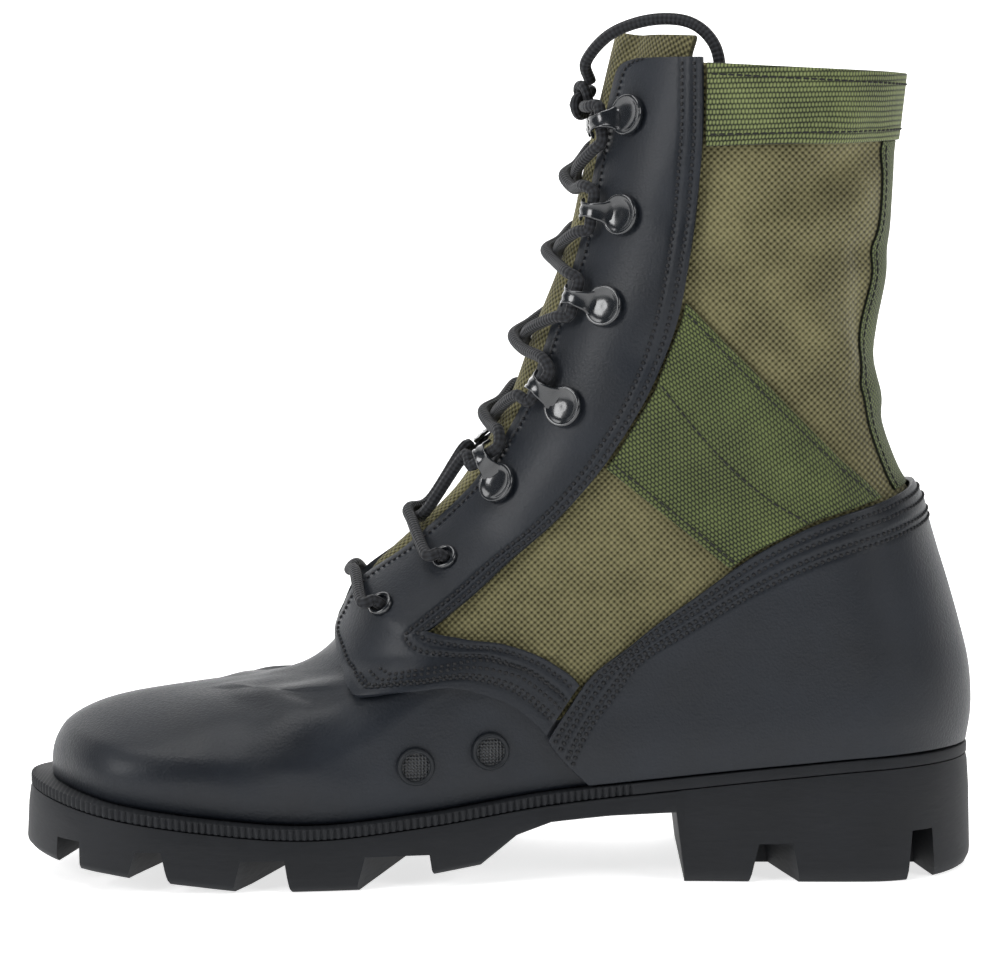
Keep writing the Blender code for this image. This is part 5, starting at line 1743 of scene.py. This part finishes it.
def rounded_profile(points, steps=4):
    """A smooth curve through a profile's points."""
    last = len(points) - 1
    return spline(points, np.linspace(0, last, steps * last + 1))


def neck_grid():
    """The hook's neck: a flat section of width w(s) and one thickness along a bent line, with
    two grooves pressed into its outer face."""
    line = rounded_profile([
        (0.0030, 0.0008), (0.0044, 0.0017), (0.0058, 0.0034), (0.0078, 0.0047), (0.0104, 0.0050),
        (0.0126, 0.0044), (0.0139, 0.0028), (0.0147, 0.0014),
    ], 6)
    s = np.linspace(0, 1, len(line))
    width = np.interp(s, [0, 0.25, 0.55, 0.8, 1], [0.0104, 0.0062, 0.0042, 0.0054, 0.0074]) / 2
    tangent = np.gradient(line, axis=0)
    tangent = tangent / np.linalg.norm(tangent, axis=1, keepdims=True)
    out = np.stack([-tangent[:, 1], tangent[:, 0]], -1)
    around = np.linspace(0, TWO_PI, NECK_SIDES)
    flat = np.sign(np.cos(around)) * np.abs(np.cos(around)) ** 0.45
    thick = np.sign(np.sin(around)) * np.abs(np.sin(around)) ** 0.6 * HOOK_PLATE * 0.5
    groove = NECK_GROOVE * np.exp(-((np.abs(flat) - 0.40) / 0.22) ** 2)
    dent = np.where(np.sin(around) > 0, groove, 0.0)
    y = width[:, None] * flat[None]
    rise = (thick - dent)[None] * np.ones_like(y)
    x = line[:, :1] + out[:, :1] * rise
    z = line[:, 1:] + out[:, 1:] * rise
    grid = np.stack([x, y, z], -1)
    start, finish = grid[:1].mean(1, keepdims=True), grid[-1:].mean(1, keepdims=True)
    ends = np.repeat(start, NECK_SIDES, 1), np.repeat(finish, NECK_SIDES, 1)
    return np.concatenate([ends[0], grid, ends[1]])


def solid_piece(name, grids, place, material, node):
    """Closed grids set at a fastener's place, as one piece that faces outwards."""
    points = np.concatenate([grid.reshape(-1, 3) for grid in grids])
    first, faces = 0, []
    for grid in grids:
        faces.append(grid_quads(*grid.shape[:2], first).reshape(-1, 4))
        first += grid.shape[0] * grid.shape[1]
    mesh = bpy.data.meshes.new(name)
    mesh.from_pydata(points.tolist(), [], np.concatenate(faces).tolist())
    bm = bmesh.new()
    bm.from_mesh(mesh)
    bmesh.ops.remove_doubles(bm, verts=bm.verts, dist=WELD)
    bmesh.ops.dissolve_degenerate(bm, edges=bm.edges, dist=SLIVER)
    bmesh.ops.recalc_face_normals(bm, faces=bm.faces)
    bm.transform(place)
    bm.to_mesh(mesh)
    bm.free()
    mesh.materials.append(material)
    mesh.shade_smooth()
    mesh.set_sharp_from_angle(angle=METAL_ANGLE)
    dress(linked(name, mesh), "black_metal", node)


# %% hooks and eyelets
dish = rounded_profile([
    (0, 0.0009), (0.0020, 0.0009), (0.0042, 0.0013), (0.0056, 0.0020),
    (0.0063, 0.0019), (0.0066, 0.0011), (0.0064, 0.0001),
], 3)
hook_grids = [turned_grid([*dish, (0.0, 0.0)], 36), neck_grid()]
roll = rounded_profile([
    (EYELET_BORE, -0.0010), (EYELET_BORE, 0.0002), (0.0030, 0.0010), (0.0036, 0.0011),
    (0.0041, 0.0007), (EYELET_FLANGE, 0.0),
])
barrel = EYELET_BORE + EYELET_BARREL
barrel_foot = -OVERLAY_WALL - UPPER_WALL
barrel_profile = [(barrel, 0.0), (barrel, barrel_foot), (EYELET_BORE, barrel_foot), roll[0]]
eyelet_grids = [turned_grid([*roll, *barrel_profile], 32)]
for word, outer in (("inner", False), ("outer", True)):
    for number, row in enumerate(HOOKS, 1):
        place = fastener_place(row, outer, OVERLAY_GAP + OVERLAY_WALL + 2 * FIT_GAP)
        node = f"hook_{word}_{number}"
        solid_piece(f"pressed_{node}", hook_grids, place, enamel, node)
    for number, row in enumerate(EYELETS, 1):
        place = fastener_place(row, outer, EYELET_TOP)
        node = f"eyelet_{word}_{number}"
        solid_piece(f"rolled_{node}", eyelet_grids, place, enamel, node)
print("hooks:", 2 * len(HOOKS), "eyelets:", 2 * len(EYELETS))


# %% vents
SCREEN_RADIUS = 0.0047
SCREEN_LIFT = 0.0009
SCREEN_CROWN = 0.0005

rim = rounded_profile([
    (0.0044, 0.0004), (0.0047, 0.0012), (0.0054, 0.0015), (0.0060, 0.0009), (VENT_RADIUS, 0.0),
])
rim_grid = turned_grid([*rim, (0.0042, 0.0), (0.0044, 0.0004)], 40)
r = np.linspace(SCREEN_RADIUS, 0, 12)
crown = SCREEN_LIFT - SCREEN_CROWN * (r / SCREEN_RADIUS) ** 2
screen_grid = turned_grid(np.column_stack([r, crown]), 32)
for number, row in enumerate(VENTS, 1):
    place = fastener_place(row, False, 2 * FIT_GAP)
    solid_piece(f"vent_rim_{number}", [rim_grid], place, dull_enamel, f"vent_{number}")
    points = screen_grid @ np.array(place.to_3x3()).T + np.array(place.translation)
    wires = sheet_piece(f"vent_screen_{number}", points, [screen],
                        uv=screen_grid[..., :2].copy(), weld=WELD)
    dress(wires, "black_metal")
print("vents:", len(VENTS))
